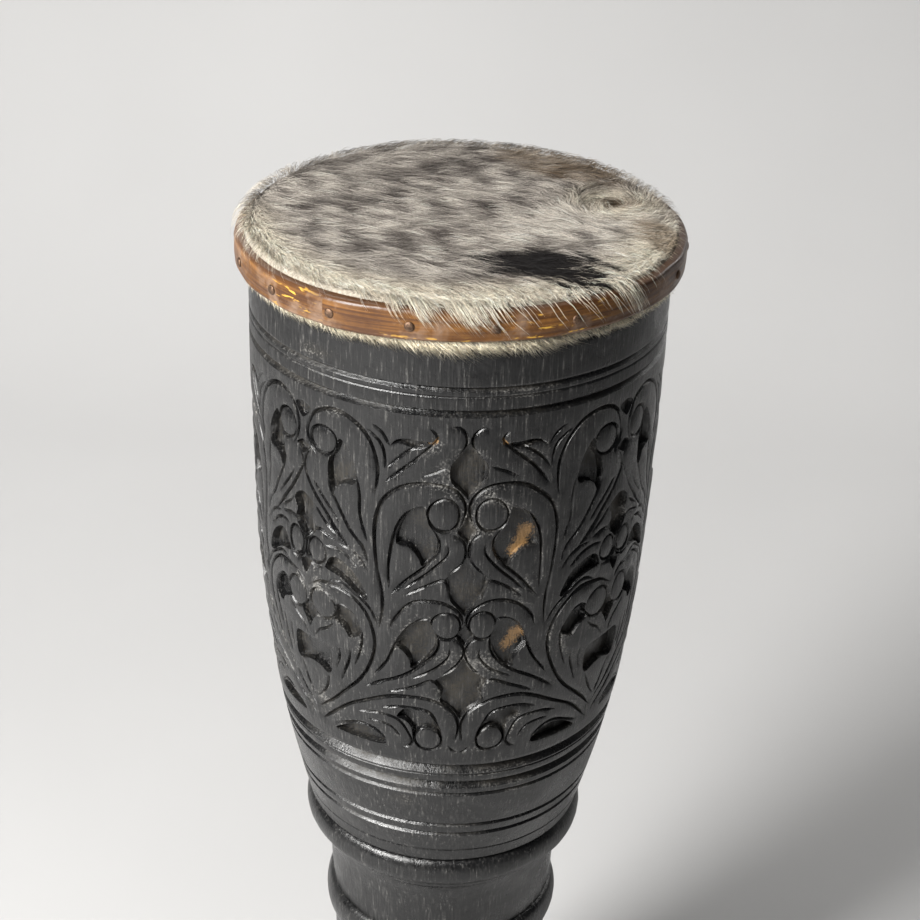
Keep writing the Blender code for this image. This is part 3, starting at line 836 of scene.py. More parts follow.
    def relief(self, spots: Array) -> dict[str, Array]:
        """Carve the sheet.

        A groove is a V whose depth fades towards its tips, with a soft shoulder beside it. A
        pocket falls from its rim to its floor over one wall's width. A boss is a dome.

        Args:
            spots: Places on the sheet.

        Returns:
            Cut depth in metres, and the shares of dust and of rubbed edge with its painted glint.
        """
        cut = np.zeros(len(spots))
        # Edge: rubbed wear along groove, ring and pocket lips, partly a painted glint
        edge = np.zeros(len(spots))
        soft = np.zeros(len(spots))
        for groove in self.grooves():
            line = flow(groove.points, self.step)
            gap, along = nearest(spots, line)
            total = np.hypot(*np.diff(line, axis=0).T).sum()
            fade = np.clip(np.minimum(along, total - along) / self.tip, 0, 1) ** self.tip_power
            half = self.groove_half * groove.width
            vee = self.groove_depth * groove.width * fade * np.clip(1 - gap / half, 0, 1)
            worn = self.arris_drop * fade * bell(np.maximum(gap - half, 0) / (self.arris * 0.75))
            cut = np.maximum(cut, vee + worn)
            soft = np.maximum(soft, fade * bell(gap / (half * self.shoulder_reach)))
            edge = np.maximum(edge, fade * bell((gap - half) / self.rub_and_glint_reach))
        for boss in self.bosses():
            gap, _ = nearest(spots, boss.ring(self.step))
            reach = np.hypot(*((spots - boss.middle) / boss.radii).T)
            soft = np.maximum(soft, np.where(reach < 1, 2.2 * reach ** 3, bell(gap / 0.9)))
            ring = self.ring_depth * np.clip(1 - gap / self.ring_half, 0, 1)
            cut = np.maximum(cut, ring + soft * self.shoulder)
            edge = np.maximum(edge, bell((gap - self.ring_half) / self.rub_and_glint_reach) * 0.7)
        cut = np.maximum(cut, soft * self.shoulder)
        dust = np.clip(cut / self.groove_depth - 0.35, 0, 1) * 0.9
        for pocket in self.pockets():
            free = pocket.opens is Cut.FREE
            rim = flow(pocket.points, self.step, free)
            closed = np.vstack([rim, rim[:1]]) if free else rim
            gap, _ = nearest(spots, closed)
            inner = within(np.clip(spots, (0.02, 0.0), (self.width - 0.02, self.height)), rim)
            deep = np.where(inner, smooth(0.0, self.wall * 1.15, gap), 0)
            floor = self.pocket_depth * pocket.depth * (1 - 0.10 * np.exp(-gap / 1.2))
            cut = np.maximum(cut, deep * floor)
            cut = np.maximum(cut, bell(gap / (self.arris * 0.75)) * self.arris_drop)
            edge = np.maximum(edge, bell(gap / 0.32) * 0.9)
            dust = np.maximum(dust, deep)
        return {"cut": cut, "edge": edge, "dust": dust}


@dataclass
class TurnedProfile:
    """Outer and inner shape of the turned body, by depth below the skin's top."""

    head_height: float
    skin: float = 1.8 * MM
    gap: float = 0.3 * MM
    rim_radius: float = 102.4 * MM
    rim_round: float = 1.5 * MM
    collar_depth: float = 22.5 * MM
    barrel_radius: float = 103.0 * MM
    bowl_start: float = 63.0 * MM
    bowl_end: float = 334.0 * MM
    bowl_drop: float = 28.2 * MM
    bowl_power: float = 2.75
    belt_top: float = 56.0 * MM
    belt_bottom: float = 252.0 * MM
    upper_bead: tuple = (344.5 * MM, 8.5 * MM, 71.5 * MM, 4.7 * MM)
    cove_top: tuple = (356.0 * MM, 70.5 * MM)
    neck: tuple = (388.0 * MM, 62.5 * MM)
    lower_bead: tuple = (409.5 * MM, 10.0 * MM, 61.5 * MM, 4.1 * MM)
    stem: tuple = (440.0 * MM, 60.4 * MM)
    foot_radius: float = 90.0 * MM
    foot_height: float = 26.0 * MM
    foot_bead: float = 5.5 * MM
    foot_chamfer: float = 2.0 * MM
    wall: float = 14.0 * MM
    bowl_floor: float = 285.0 * MM
    throat_depth: float = 345.0 * MM
    throat_radius: float = 40.0 * MM
    throat_length: float = 110.0 * MM
    foot_wall: float = 14.5 * MM
    # Turned V grooves: depth below the skin's top, width and cut, in millimetres
    grooves: tuple = ((41.7, 2.4, 1.3), (45.6, 1.2, 0.4), (54.0, 3.4, 2.2), (262.1, 5.2, 3.2),
                      (266.6, 1.2, 0.5), (273.8, 4.8, 3.0), (281.0, 2.2, 1.2), (305.2, 2.2, 1.3),
                      (312.6, 2.4, 1.5), (326.0, 1.0, 0.35), (372.0, 1.0, 0.3))
    # Places of the rings that carry a groove, in shares of its width from its middle
    groove_rings: tuple = (-1.0, -0.6, -0.45, -0.2, 0.0, 0.2, 0.45, 0.6, 1.0)
    # How far the plain bowl's rings lie apart
    ring_step: float = 5 * MM
    # Round lips beside a groove: their drop, and their reach in half widths
    lip_drop: float = 0.12 * MM
    lip_reach: float = 1.6
    # Small edge round the foot's underside
    sole_edge: float = 0.4 * MM
    foot_curve: float = 1.7

    def bowl(self, depth: Array) -> Array:
        """Bowl radius: a barrel that pulls in by a power of the way down."""
        share = np.maximum(0, depth - self.bowl_start) / (self.bowl_end - self.bowl_start)
        return self.barrel_radius - self.bowl_drop * share ** self.bowl_power

    def _bead(self, shape: tuple) -> list[tuple[float, float]]:
        """Half ellipse of a bead going down: (depth, radius)."""
        turns = np.linspace(0, math.pi, 13)
        depth, half, base, bulge = shape
        return [(depth - half * math.cos(t), base + bulge * math.sin(t)) for t in turns]

    def outside(self, start: float, end: float) -> Array:
        """Outer (depth, radius) between two depths, denser at every groove.

        Args:
            start: Upper depth.
            end: Lower depth.

        Returns:
            One row for each ring, going down.
        """
        turns = np.linspace(0, math.pi / 2, 9)
        cove = [(self.neck[0] - (self.neck[0] - self.cove_top[0]) * math.cos(t),
                 self.cove_top[1] - (self.cove_top[1] - self.neck[1]) * math.sin(t)) for t in turns]
        foot_top = self.head_height - self.foot_height
        shares = np.linspace(0, 1, 9)
        wide = self.foot_radius - self.foot_bead
        drop, spread = foot_top - self.stem[0], wide - self.stem[1]
        flare = [(self.stem[0] + drop * s, self.stem[1] + spread * s ** 2) for s in shares]
        half = self.foot_height / 2
        foot = self._bead((self.head_height - half, half - self.foot_chamfer, wide, self.foot_bead))
        low = [*self._bead(self.upper_bead), *cove, *self._bead(self.lower_bead), *flare, *foot]
        low.append((self.head_height - self.sole_edge, wide - self.foot_chamfer * 0.8))
        last = min(end, self.bowl_end)
        depths = {start, last}
        depths.update(d for d in np.arange(start, last, self.ring_step))
        for middle, width, _ in self.grooves:
            depths.update((middle + share * width) * MM for share in self.groove_rings)
        bowl = np.array(sorted(d for d in depths if start <= d <= last))
        rings = np.stack([bowl, self.bowl(bowl)], -1)
        if end > self.bowl_end:
            rings = np.vstack([rings, np.array([p for p in low if p[0] < end])])
        border = np.minimum(np.abs(rings[:, 0] - self.belt_top), np.abs(rings[:, 0] - self.belt_bottom))
        for middle, width, cut in self.grooves:
            away = np.abs(rings[:, 0] / MM - middle) / (width / 2)
            vee = cut * MM * np.clip(1.12 - away, 0, 1) + self.lip_drop * bell(away / self.lip_reach)
            rings[:, 1] -= vee * smooth(0, 0.5 * MM, border)
        return rings

    def rim(self) -> Array:
        """The bearing edge and the collar's step under the hoop, going down: (depth, radius)."""
        top = self.skin + self.gap
        turns = np.linspace(0, math.pi / 2, 4)
        curve = [(top + self.rim_round * (1 - math.cos(t)),
                  self.rim_radius - self.rim_round * (1 - math.sin(t))) for t in turns]
        return np.array([*curve, (self.collar_depth - self.rim_round, self.rim_radius),
                         (self.collar_depth, self.barrel_radius)])

    def inside(self) -> Array:
        """The hollow from the foot's underside up to the rim: (depth, radius)."""
        top = self.skin + self.gap
        upper = [(top, self.rim_radius - self.wall)]
        depths = np.linspace(self.bowl_start, self.bowl_floor, 6)
        upper += [(d, float(self.bowl(np.array(d))) - self.wall) for d in depths]
        wide = upper[-1][1]
        turns = np.linspace(0, math.pi / 2, 6)[1:]
        upper += [(self.bowl_floor + (self.throat_depth - self.bowl_floor) * math.sin(t),
                   self.throat_radius + (wide - self.throat_radius) * math.cos(t)) for t in turns]
        end = self.throat_depth + self.throat_length
        spread = self.foot_radius - self.foot_wall - self.throat_radius
        upper += [(end + (self.head_height - end) * s, self.throat_radius + spread * s ** self.foot_curve)
                  for s in np.linspace(0, 1, 6)]
        return np.array(upper[::-1])


@dataclass
class CarvedBody:
    """The wooden body: turned rings, hollow and the carved belt, as one closed mesh."""

    profile: TurnedProfile
    drawing: PalmetteDrawing
    roots: tuple = (-43.5, 52.5, 140.5, 228.5)
    wander: float = 0.30
    # Bare wood: azimuth, depth below the skin in millimetres, reach around and along in millimetres
    chips: tuple = ((20.6, 119.5, 7.5, 8.0), (19.2, 124.5, 7.0, 6.0), (18.0, 129.0, 7.5, 6.0),
                    (19.9, 178.0, 7.0, 6.0), (18.0, 182.5, 7.0, 5.0), (16.4, 185.5, 6.0, 4.0),
                    (-6.0, 68.5, 8.0, 3.2), (14.5, 68.5, 7.0, 3.0), (150.0, 125.0, 5.0, 5.0),
                    (216.0, 182.0, 6.0, 4.0))
    # Rubbed places, in the same measures
    worn: tuple = ((-30.0, 146.0, 7.0, 4.0), (-27.0, 151.5, 5.0, 5.0), (-15.0, 289.0, 13.0, 3.5),
                   (-2.0, 290.0, 9.0, 3.0), (10.0, 293.5, 10.0, 4.0), (-38.0, 34.0, 16.0, 3.5),
                   (60.0, 296.0, 12.0, 4.0), (120.0, 210.0, 9.0, 6.0), (200.0, 290.0, 14.0, 4.0),
                   (170.0, 36.0, 12.0, 4.0))
    # Roundness of the turning: slow waves and quick ones
    slow: Swell = Swell(3)
    quick: Swell = Swell(4)
    # The carver's hand: lines that wander round and along, cuts of uneven depth, rough floors
    astray: Swell = Swell(21)
    adrift: Swell = Swell(22)
    uneven: Swell = Swell(23)
    rough: Swell = Swell(24, 14)
    sharp: float = 38.0

    def halves(self) -> list[tuple[float, int, float]]:
        """Each half panel: root azimuth, turning sense and width in degrees."""
        made = []
        for index, root in enumerate(self.roots):
            after = self.roots[(index + 1) % len(self.roots)]
            before = self.roots[index - 1]
            made += [(root, 1, ((after - root) % 360) / 2), (root, -1, ((root - before) % 360) / 2)]
        return made

    def ring_azimuths(self) -> Array:
        """Azimuths of every turned ring, which meet the belt's border point for point."""
        shares = np.arange(self.drawing.border + 1) / self.drawing.border
        found = np.concatenate([root + sense * width * shares for root, sense, width in self.halves()])
        return np.unique(np.round(found % 360, 5))

    def unevenness(self, azimuth: Array, depth: Array) -> Array:
        """Hand-turned waviness of the outer surface in metres, none under the hoop and at the sole."""
        slow = self.slow.at(azimuth, depth, 5, 14) * 0.28 * MM
        quick = self.quick.at(azimuth, depth, 60, 90) * 0.05 * MM
        off_floor = smooth(0, 8 * MM, self.profile.head_height - depth)
        return (slow + quick) * off_floor * smooth(24 * MM, 30 * MM, depth)

    @staticmethod
    def _patches(places: tuple, azimuth: Array, depth: Array) -> Array:
        """Soft oval patches on the body: 1 in the middle of each and 0 at its edge."""
        found = np.zeros(len(azimuth))
        for where, below, reach, drop in places:
            across = turn_from(where, azimuth) * math.pi / 180 * 100 / reach
            found = np.maximum(found, 1 - np.hypot(across, (depth / MM - below) / drop))
        return found

    def _rubbed(self, azimuth: Array, depth: Array) -> Array:
        """How far the surface is rubbed by hands, 0 to 1."""
        return smooth(0.0, 0.6, self._patches(self.worn, azimuth, depth))

    def _turned(self, rings: Array, outer: bool) -> tuple[Array, Array, Array]:
        """Turn (depth, radius) rings round the axis: points, quads and depths."""
        azimuths = self.ring_azimuths()
        depth, azimuth = np.meshgrid(rings[:, 0], azimuths, indexing="ij")
        radius = np.repeat(rings[:, 1:], len(azimuths), axis=1)
        if outer:
            radius = radius + self.unevenness(azimuth, depth)
        points = wrap(radius, azimuth, self.profile.head_height - depth).reshape(-1, 3)
        return points, grid_faces(len(rings), len(azimuths), True), depth.ravel()

    def _belt(self) -> tuple[Array, Array, dict[str, Array]]:
        """Wrap the carved sheet on the bowl for every half panel."""
        spots, corners = self.drawing.sheet()
        carved = self.drawing.relief(spots)
        LOG.info("belt sheet: %d places, %d triangles", len(spots), len(corners))
        points, faces, marks = [], [], {"edge": [], "dust": [], "chip": []}
        span = self.profile.belt_bottom - self.profile.belt_top
        for count, (root, sense, width) in enumerate(self.halves()):
            azimuth = root + sense * width * spots[:, 0] / self.drawing.width
            depth = self.profile.belt_bottom - span * spots[:, 1] / self.drawing.height
            inset = np.minimum(self.profile.belt_bottom - depth, depth - self.profile.belt_top)
            calm = smooth(0, 5 * MM, inset)
            turn = azimuth + calm * self.wander * self.astray.at(azimuth, depth, 22, 40)
            level = depth + calm * self.wander * 2 * MM * self.adrift.at(azimuth, depth, 22, 40)
            fresh = 1 + 0.16 * self.uneven.at(azimuth, depth, 16, 24)
            dents = self.rough.at(turn, level, 210, 90) * 0.30 * MM * carved["dust"]
            relief = (carved["cut"] * fresh - dents) * smooth(0.1 * MM, 1.2 * MM, inset)
            radius = self.profile.bowl(depth) + self.unevenness(azimuth, depth) - relief
            chip = self._patches(self.chips, turn, level)
            points.append(wrap(radius, turn, self.profile.head_height - level))
            faces.append((corners[:, ::-1] if sense < 0 else corners) + count * len(spots))
            marks["edge"].append(np.maximum(carved["edge"], self._rubbed(turn, level)))
            marks["dust"].append(carved["dust"])
            marks["chip"].append(np.clip(chip, 0, 1) * (carved["cut"] > 0.5 * MM))
        return np.vstack(points), np.vstack(faces), {k: np.concatenate(v) for k, v in marks.items()}

    def build(self) -> bpy.types.Object:
        """Join the belt, the rings above and below it and the hollow into one closed body."""
        shape = self.profile
        above = np.vstack([shape.rim(), shape.outside(shape.collar_depth + 3 * MM, shape.belt_top)])
        below = shape.outside(shape.belt_bottom, shape.head_height)
        foot = np.array([[shape.head_height, below[-1, 1] - shape.sole_edge]])
        below = np.vstack([below, foot])
        inner = shape.inside()
        top = np.array([[shape.skin + shape.gap, shape.rim_radius - shape.rim_round]])
        belt_points, belt_faces, marks = self._belt()
        parts = [self._turned(above, True), self._turned(below, True),
                 self._turned(np.vstack([foot, inner, top]), False)]
        points, depths = [belt_points], []
        faces = [np.pad(belt_faces, ((0, 0), (0, 1)), constant_values=-1)]
        start = len(belt_points)
        for verts, quads, depth in parts:
            points.append(verts)
            faces.append(quads[:, ::-1] + start)
            depths.append(depth)
            start += len(verts)
        lower = np.concatenate(depths)
        groove = np.zeros(len(lower))
        lip_rub_and_glint = np.zeros(len(lower))
        places = np.vstack(points[1:])
        worn = self._rubbed(azimuth_of(places[:, 0], places[:, 1]), lower)
        for middle, width, cut in shape.grooves:
            away = np.abs(lower / MM - middle) / (width / 2)
            groove = np.maximum(groove, np.clip(1.1 - away, 0, 1) * min(1, cut / 2))
            # Pale lips beside the turned grooves: partly rubbed wear, partly a painted glint
            lip_rub_and_glint = np.maximum(lip_rub_and_glint, bell((away - 1.1) / 0.35) * 0.4)
        lip_rub_and_glint, groove = np.maximum(lip_rub_and_glint, worn), np.maximum(groove, worn * 0.7)
        merged, corners, keep = weld(np.vstack(points), np.vstack(faces))
        carried = {"dust": np.concatenate([marks["dust"], groove])[keep],
                   "edge": np.concatenate([marks["edge"], lip_rub_and_glint])[keep],
                   "chip": np.concatenate([marks["chip"], 0 * lower])[keep]}
        piece = make_piece("body_wood", merged, corners, EbonisedWood().material(),
                           carried, self.sharp)
        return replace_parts(piece, "carved_body")


def weld(points: Array, faces: Array, reach: float = 2e-6) -> tuple[Array, Array, Array]:
    """Merge points that share a place and drop faces that lose their area.

    Args:
        points: Points, one row each.
        faces: Corner numbers with -1 padding.
        reach: Points nearer than about this are one.

    Returns:
        Merged points, faces and the first old number of each merged point.
    """
    cells = np.round(points / reach + 0.37).astype(np.int64)
    _, first, back = np.unique(cells, axis=0, return_index=True, return_inverse=True)
    back = back.ravel()
    corners = np.where(faces >= 0, back[np.maximum(faces, 0)], -1)
    used = corners[:, :3]
    whole = (used[:, 0] != used[:, 1]) & (used[:, 1] != used[:, 2]) & (used[:, 0] != used[:, 2])
    return points[first], corners[whole], first


def tint(colour: Array, share: Array, paint: tuple) -> Array:
    """Mix a colour into others by a share for each of them."""
    return colour * (1 - share) + np.array(paint) * share


@dataclass
class CoatPattern:
    """Colour and lie of the goat's hair, by place on the head in shares of its radius."""

    whorl: tuple = (0.742, 0.213)
    lie: float = -19.0
    grey: tuple = (0.100, 0.083, 0.073)
    pale: tuple = (0.84, 0.77, 0.68)
    cream: tuple = (0.94, 0.84, 0.68)
    brown: tuple = (0.23, 0.155, 0.085)
    black: tuple = (0.008, 0.006, 0.006)
    # Spots: middle and reach in shares of the head's radius, turn in degrees, strength
    brown_spots: tuple = (((0.50, 0.70), (0.42, 0.22), -38.0, 0.62), (whorl, (0.14, 0.12), 0.0, 0.95),
                          ((0.92, -0.20), (0.10, 0.26), 12.0, 0.7))
    dark_spots: tuple = (((0.385, -0.56), (0.31, 0.18), 2.0, 1.0), ((0.60, -0.735), (0.17, 0.10), 30.0, 1.0))
    whorl_reach: float = 0.34
    wave_count: int = 12

    @staticmethod
    def spot(x: Array, y: Array, middle: tuple, reach: tuple, turn: float = 0.0) -> Array:
        """Soft oval spot, 1 in its middle and 0 past its edge."""
        c, s = math.cos(math.radians(turn)), math.sin(math.radians(turn))
        across = ((x - middle[0]) * c + (y - middle[1]) * s) / reach[0]
        along = (-(x - middle[0]) * s + (y - middle[1]) * c) / reach[1]
        return 1 - smooth(0.55, 1.1, np.hypot(across, along))

    def spots(self, x: Array, y: Array, places: tuple) -> Array:
        """The strongest of several spots at each place."""
        return np.max([self.spot(x, y, *where) * much for *where, much in places], axis=0)

    def waves(self, run: Array, side: Array, seed: int, run_rate: float, side_rate: float) -> Array:
        """Soft blotches of about -1 to 1: a sum of plane waves with seeded directions and phases."""
        rng = np.random.default_rng(seed)
        total = np.zeros_like(run)
        for _ in range(self.wave_count):
            phase = rng.uniform(0, 2 * math.pi)
            total += np.sin(run * rng.normal(0, run_rate) + side * rng.normal(0, side_rate) + phase)
        return total / 3

    def lie_at(self, x: Array, y: Array) -> Array:
        """Direction of the hair as level arrows: one flow that turns round the whorl and spills over."""
        out = np.hypot(x, y)
        forward = 26 * smooth(0.45, 1.0, -y) * smooth(-1.0, 0.2, x)
        turn = np.radians(self.lie - forward + 16 * smooth(0.3, 0.9, y))
        arrow = np.stack([np.cos(turn), np.sin(turn)], -1)
        dx, dy = x - self.whorl[0], y - self.whorl[1]
        far = np.maximum(np.hypot(dx, dy), TINY)
        ring = np.stack([-dy / far + 0.35 * dx / far, dx / far + 0.35 * dy / far], -1)
        hold = bell(far / self.whorl_reach)[..., None]
        mixed = arrow * (1 - hold) + ring * hold
        outward = level_unit(np.stack([x, y], -1))
        spill = 0.9 - 0.5 * smooth(0.3, 0.9, -y) + 0.45 * smooth(0.4, 0.9, -x)
        spill = (smooth(0.84, 1.02, out) * spill)[..., None]
        return level_unit(mixed + outward * spill)

    def colour_at(self, x: Array, y: Array, chance: Array) -> Array:
        """Coat colour at a place.

        Args:
            x: Place across, in shares of the head's radius.
            y: Place towards the back.
            chance: A random share for each hair.

        Returns:
            Red, green, blue and 1 for each place.
        """
        out = np.hypot(x, y)
        slope = math.radians(self.lie)
        run = x * math.cos(slope) + y * math.sin(slope)
        side = -x * math.sin(slope) + y * math.cos(slope)
        mottle = self.waves(run, side, 51, 19.0, 42.0) * 0.55 + self.waves(run, side, 52, 40.0, 85.0) * 0.45
        light = 0.44 + 0.52 * mottle + 0.46 * (chance - 0.5)
        light = light + 0.42 * smooth(-0.1, 0.5, x) * smooth(0.7, 0.0, np.abs(y + 0.15))
        light = np.clip(light - 0.14 * smooth(0.2, 0.9, y), 0, 1)[..., None]
        colour = tint(np.array(self.grey), light, self.pale)
        creamy = smooth(0.72, 0.97, out) * smooth(0.25, -0.35, y)
        creamy = np.maximum(creamy, smooth(0.88, 1.0, out) * (0.15 + 0.55 * smooth(0.3, -0.3, y)))
        creamy = np.maximum(creamy, 0.7 * self.spot(x, y, self.whorl, (0.27, 0.25)))
        creamy = np.clip(creamy * (0.75 + 0.5 * chance), 0, 1)[..., None]
        colour = tint(colour, creamy, self.cream)
        brown = (self.spots(x, y, self.brown_spots) * smooth(0.0, 0.35, chance))[..., None]
        colour = tint(colour, brown, self.brown)
        ragged = 0.10 * np.sin(side * 60 + 5 * np.sin(run * 9)) + 0.14 * (chance - 0.5)
        dark = smooth(0.2, 0.45, self.spots(x + ragged, y, self.dark_spots))[..., None]
        colour = tint(colour, dark, self.black)
        return np.concatenate([colour, np.ones_like(light)], -1)


@dataclass
class HairGroup:
    """One brush of hairs: how many, how long, how thick and how they lie."""

    name: str
    count: int
    length: tuple[float, float]
    width: float
    lift: float
    stations: int = 3
    seed: int = 1


@dataclass
class GoatskinHead:
    """The hide over the mouth, its coat of hair, the overhanging fringe and the trimmed edge."""

    radius: float
    height: float
    hoop_outer: float
    hoop_depth: float
    pattern: CoatPattern
    shoulder: float = 5.0 * MM
    # The hide: thickness, bend over the rim, points round it, its edge's depth and its shade
    skin: float = 1.8 * MM
    bend: float = 4.0 * MM
    sides: int = 144
    edge_depth: float = 19.5 * MM
    hide_shade: float = 0.55
    # A hair's thickness as a share of its width
    flat: float = 0.6
    # The trimmed edge: how many hairs, and their width
    trimmed_count: int = 8600
    trimmed_width: float = 0.34 * MM
    trimmed_swell: Swell = Swell(31)
    # Each lock over the hoop: middle and spread in degrees, how many hairs, reach of the roots in
    # shares of the head's radius and length in millimetres
    locks: tuple = (
        (-34, 27, 2200, (0.90, 0.99), (4, 9)), (-19, 1.8, 60, (0.93, 0.98), (9, 20)),
        (-12, 1.5, 80, (0.93, 0.98), (10, 22)), (-7, 1.3, 70, (0.92, 0.97), (12, 26)),
        (-1, 1.6, 90, (0.92, 0.98), (12, 25)), (4, 1.4, 50, (0.92, 0.97), (12, 28)),
        (-5, 16, 70, (0.92, 0.98), (9, 22)), (43, 1.7, 75, (0.88, 0.95), (18, 34)),
        (38, 8, 45, (0.88, 0.97), (10, 30)), (0, 110, 1900, (0.93, 0.99), (3, 6)),
    )
    groups: tuple = (
        HairGroup("head_undercoat", 12000, (7 * MM, 13 * MM), 0.36 * MM, 0.8 * MM, 3, 5),
        HairGroup("head_coat", 12000, (9 * MM, 17 * MM), 0.27 * MM, 1.3 * MM, 3, 6),
        HairGroup("head_guard_hair", 12000, (11 * MM, 22 * MM), 0.20 * MM, 2.1 * MM, 3, 7),
    )

    def drape(self, reach: Array, rise: Array) -> tuple[Array, Array]:
        """Follow the hide outwards: flat, round the shoulder, then down outside the hoop.

        Args:
            reach: Distance from the axis along the hide.
            rise: Height of the hair over the hide.

        Returns:
            Radius and height above the floor.
        """
        flat = self.hoop_outer + 0.9 * MM - self.shoulder
        arc = self.shoulder * math.pi / 2
        turn = np.clip((reach - flat) / self.shoulder, 0, math.pi / 2)
        down = np.maximum(reach - flat - arc, 0)
        over = np.minimum(rise, 1.2 * MM)
        radius = np.minimum(reach, flat) + (self.shoulder + over) * np.sin(turn)
        height = self.height - self.shoulder + self.shoulder * np.cos(turn) + rise * np.cos(turn) - down
        return radius, height

    def hide(self) -> bpy.types.Object:
        """The hide itself: a closed cap over the rim with a skirt under the hoop."""
        outer, skin, bend = self.radius - 0.5 * MM, self.skin, self.bend
        inner = outer - skin
        low = self.height - self.edge_depth
        lip = self.height - self.hoop_depth - 0.3 * MM
        steps = np.linspace(0, math.pi / 2, 6)
        over = [(r * (outer - bend), self.height) for r in np.linspace(0.002, 0.94, 14)]
        over += [(outer - bend * (1 - math.sin(t)), self.height - bend * (1 - math.cos(t))) for t in steps]
        over += [(outer, lip), (outer + 1.4 * MM, low + 2.4 * MM), (outer + 1.2 * MM, low), (inner, low),
                 (inner, self.height - skin - 1.5 * MM), (inner - 1.5 * MM, self.height - skin),
                 (0.2 * MM, self.height - skin)]
        rings = np.array(over)
        azimuths = np.linspace(0, 360, self.sides, endpoint=False)
        radius = np.repeat(rings[:, :1], len(azimuths), axis=1)
        level = np.repeat(rings[:, 1:], len(azimuths), axis=1)
        points = wrap(radius, azimuths[None] + 0 * radius, level).reshape(-1, 3)
        points = np.vstack([points, [[0, 0, self.height]], [[0, 0, self.height - skin]]])
        faces = capped_faces(len(rings), self.sides)
        share = points[:, :2] / self.radius
        colour = self.pattern.colour_at(share[:, 0], share[:, 1], np.full(len(points), 0.35))
        colour[:, :3] *= self.hide_shade
        piece = make_piece("head_hide", points, faces, Hide().material(), {"coat": colour})
        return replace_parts(piece, "goatskin_head")

    def strands(self, name: str, roots: Array, length: Array, width: Array, lift: Array, stations: int,
                chance: Array, material: bpy.types.Material, sag: float = 0.0) -> bpy.types.Object:
        """Grow hairs from the hide along its lie.

        Each hair steps along the lie in equal stretches, rises by a half sine and tapers to a
        point. Its section is a triangle.

        Args:
            name: The piece's name.
            roots: Root places in shares of the head's radius.
            length: Length of each hair.
            width: Width of each hair at its root.
            lift: How high each hair bows.
            stations: Rings before the tip.
            chance: A random share for each hair.
            material: The finish.
            sag: Turn towards straight down past the rim, in shares.

        Returns:
            The hair as one piece.
        """
        count = len(roots)
        place = roots.copy()
        line, arrows = [place.copy()], []
        for _ in range(stations):
            arrow = self.pattern.lie_at(place[:, 0], place[:, 1])
            lock = self.pattern.waves(place[:, 0], place[:, 1], 61, 34.0, 34.0) * 0.22
            swing = ((chance * 91.7 % 1 - 0.5) * 0.42 + lock)[:, None]
            arrow = arrow + swing * quarter_left(arrow)
            past = smooth(0.97, 1.04, np.hypot(place[:, 0], place[:, 1]))[:, None] * sag
            outward = level_unit(place)
            aside = 0.72 + 0.35 * (chance[:, None] * 37.9 % 1 - 0.5)
            hang = outward * 0.7 + quarter_left(outward) * aside
            arrow = level_unit(arrow * (1 - past) + hang * past)
            arrows.append(arrow)
            place = place + arrow * (length / stations / self.radius)[:, None]
            line.append(place.copy())
        arrows.append(arrows[-1])
        path = np.stack(line, 1) * self.radius
        shares = np.arange(stations + 1) / stations
        bow = lift[:, None] * (0.25 + np.sin(np.clip(shares * 1.15 + 0.05, 0, 1) * math.pi * 0.85))
        reach = np.hypot(path[..., 0], path[..., 1])
        radius, height = self.drape(reach, bow)
        azimuth = azimuth_of(path[..., 0], path[..., 1])
        spine = wrap(radius, azimuth, height)
        outer = wrap(radius + 0.01, azimuth, height) - spine
        steep = smooth(self.radius - 6 * MM, self.radius, reach)[..., None]
        up = np.array([0, 0, 1.0]) * (1 - steep) + outer * 100 * steep
        taper = (width[:, None] * (1 - 0.75 * shares[None] ** 1.5))[:, :stations]
        points, faces = tubes(spine, up, taper, self.flat)
        seen = roots + arrows[0] * (length * 0.7 / self.radius)[:, None]
        colour = self.pattern.colour_at(seen[:, 0], seen[:, 1], chance)
        shade = (0.46 + 0.94 * (chance * 57.3 % 1))[:, None]
        colour[:, :3] = np.clip(colour[:, :3] * shade, 0, 1)
        along = np.repeat(np.concatenate([np.repeat(shares[:-1], 3), [1.0]])[None], count, 0)
        tone = np.repeat(colour[:, None], stations * 3 + 1, 1)
        # Darker at the root than at the tip: painted shade of the coat over its own roots
        tone[..., :3] *= (0.66 + 0.5 * along)[..., None]
        return make_piece(name, points, faces, material, {"coat": tone.reshape(-1, 4)}, 180)

    def coat(self, material: bpy.types.Material) -> None:
        """Hair lying all over the head."""
        for group in self.groups:
            rng = np.random.default_rng(group.seed)
            reach = np.sqrt(rng.uniform(0, 0.985 ** 2, group.count))
            turn = rng.uniform(0, 2 * math.pi, group.count)
            roots = np.stack([reach * np.cos(turn), reach * np.sin(turn)], -1)
            chance = rng.uniform(0, 1, group.count)
            length = rng.uniform(*group.length, group.count)
            arrow = self.pattern.lie_at(roots[:, 0], roots[:, 1])
            spill = np.maximum(0, (roots * arrow).sum(1)) * smooth(0.90, 1.06, reach + length / self.radius)
            length = length * (1 - (0.8 - 0.5 * smooth(0.5, 0.9, -roots[:, 0])) * spill)
            width = group.width * rng.uniform(0.7, 1.25, group.count)
            lift = group.lift * rng.uniform(0.5, 1.2, group.count)
            self.strands(group.name, roots, length, width, lift, group.stations, chance, material)

    def fringe(self, material: bpy.types.Material) -> None:
        """Long pale hairs that fall over the hoop at the front, and stray ones at its right."""
        rng = np.random.default_rng(8)
        azimuth, reach, length = (np.concatenate(part) for part in zip(*[
            (rng.normal(middle, spread, many), rng.uniform(*roots, many), rng.uniform(*long, many) * MM)
            for middle, spread, many, roots, long in self.locks]))
        turn = np.radians(azimuth)
        roots = np.stack([reach * np.sin(turn), -reach * np.cos(turn)], -1)
        chance = rng.uniform(0.45, 1, len(roots))
        width = 0.26 * MM * rng.uniform(0.6, 1.2, len(roots))
        lift = rng.uniform(0.6, 2.6, len(roots)) * MM
        self.strands("head_fringe", roots, length, width, lift, 5, chance, material, 0.8)

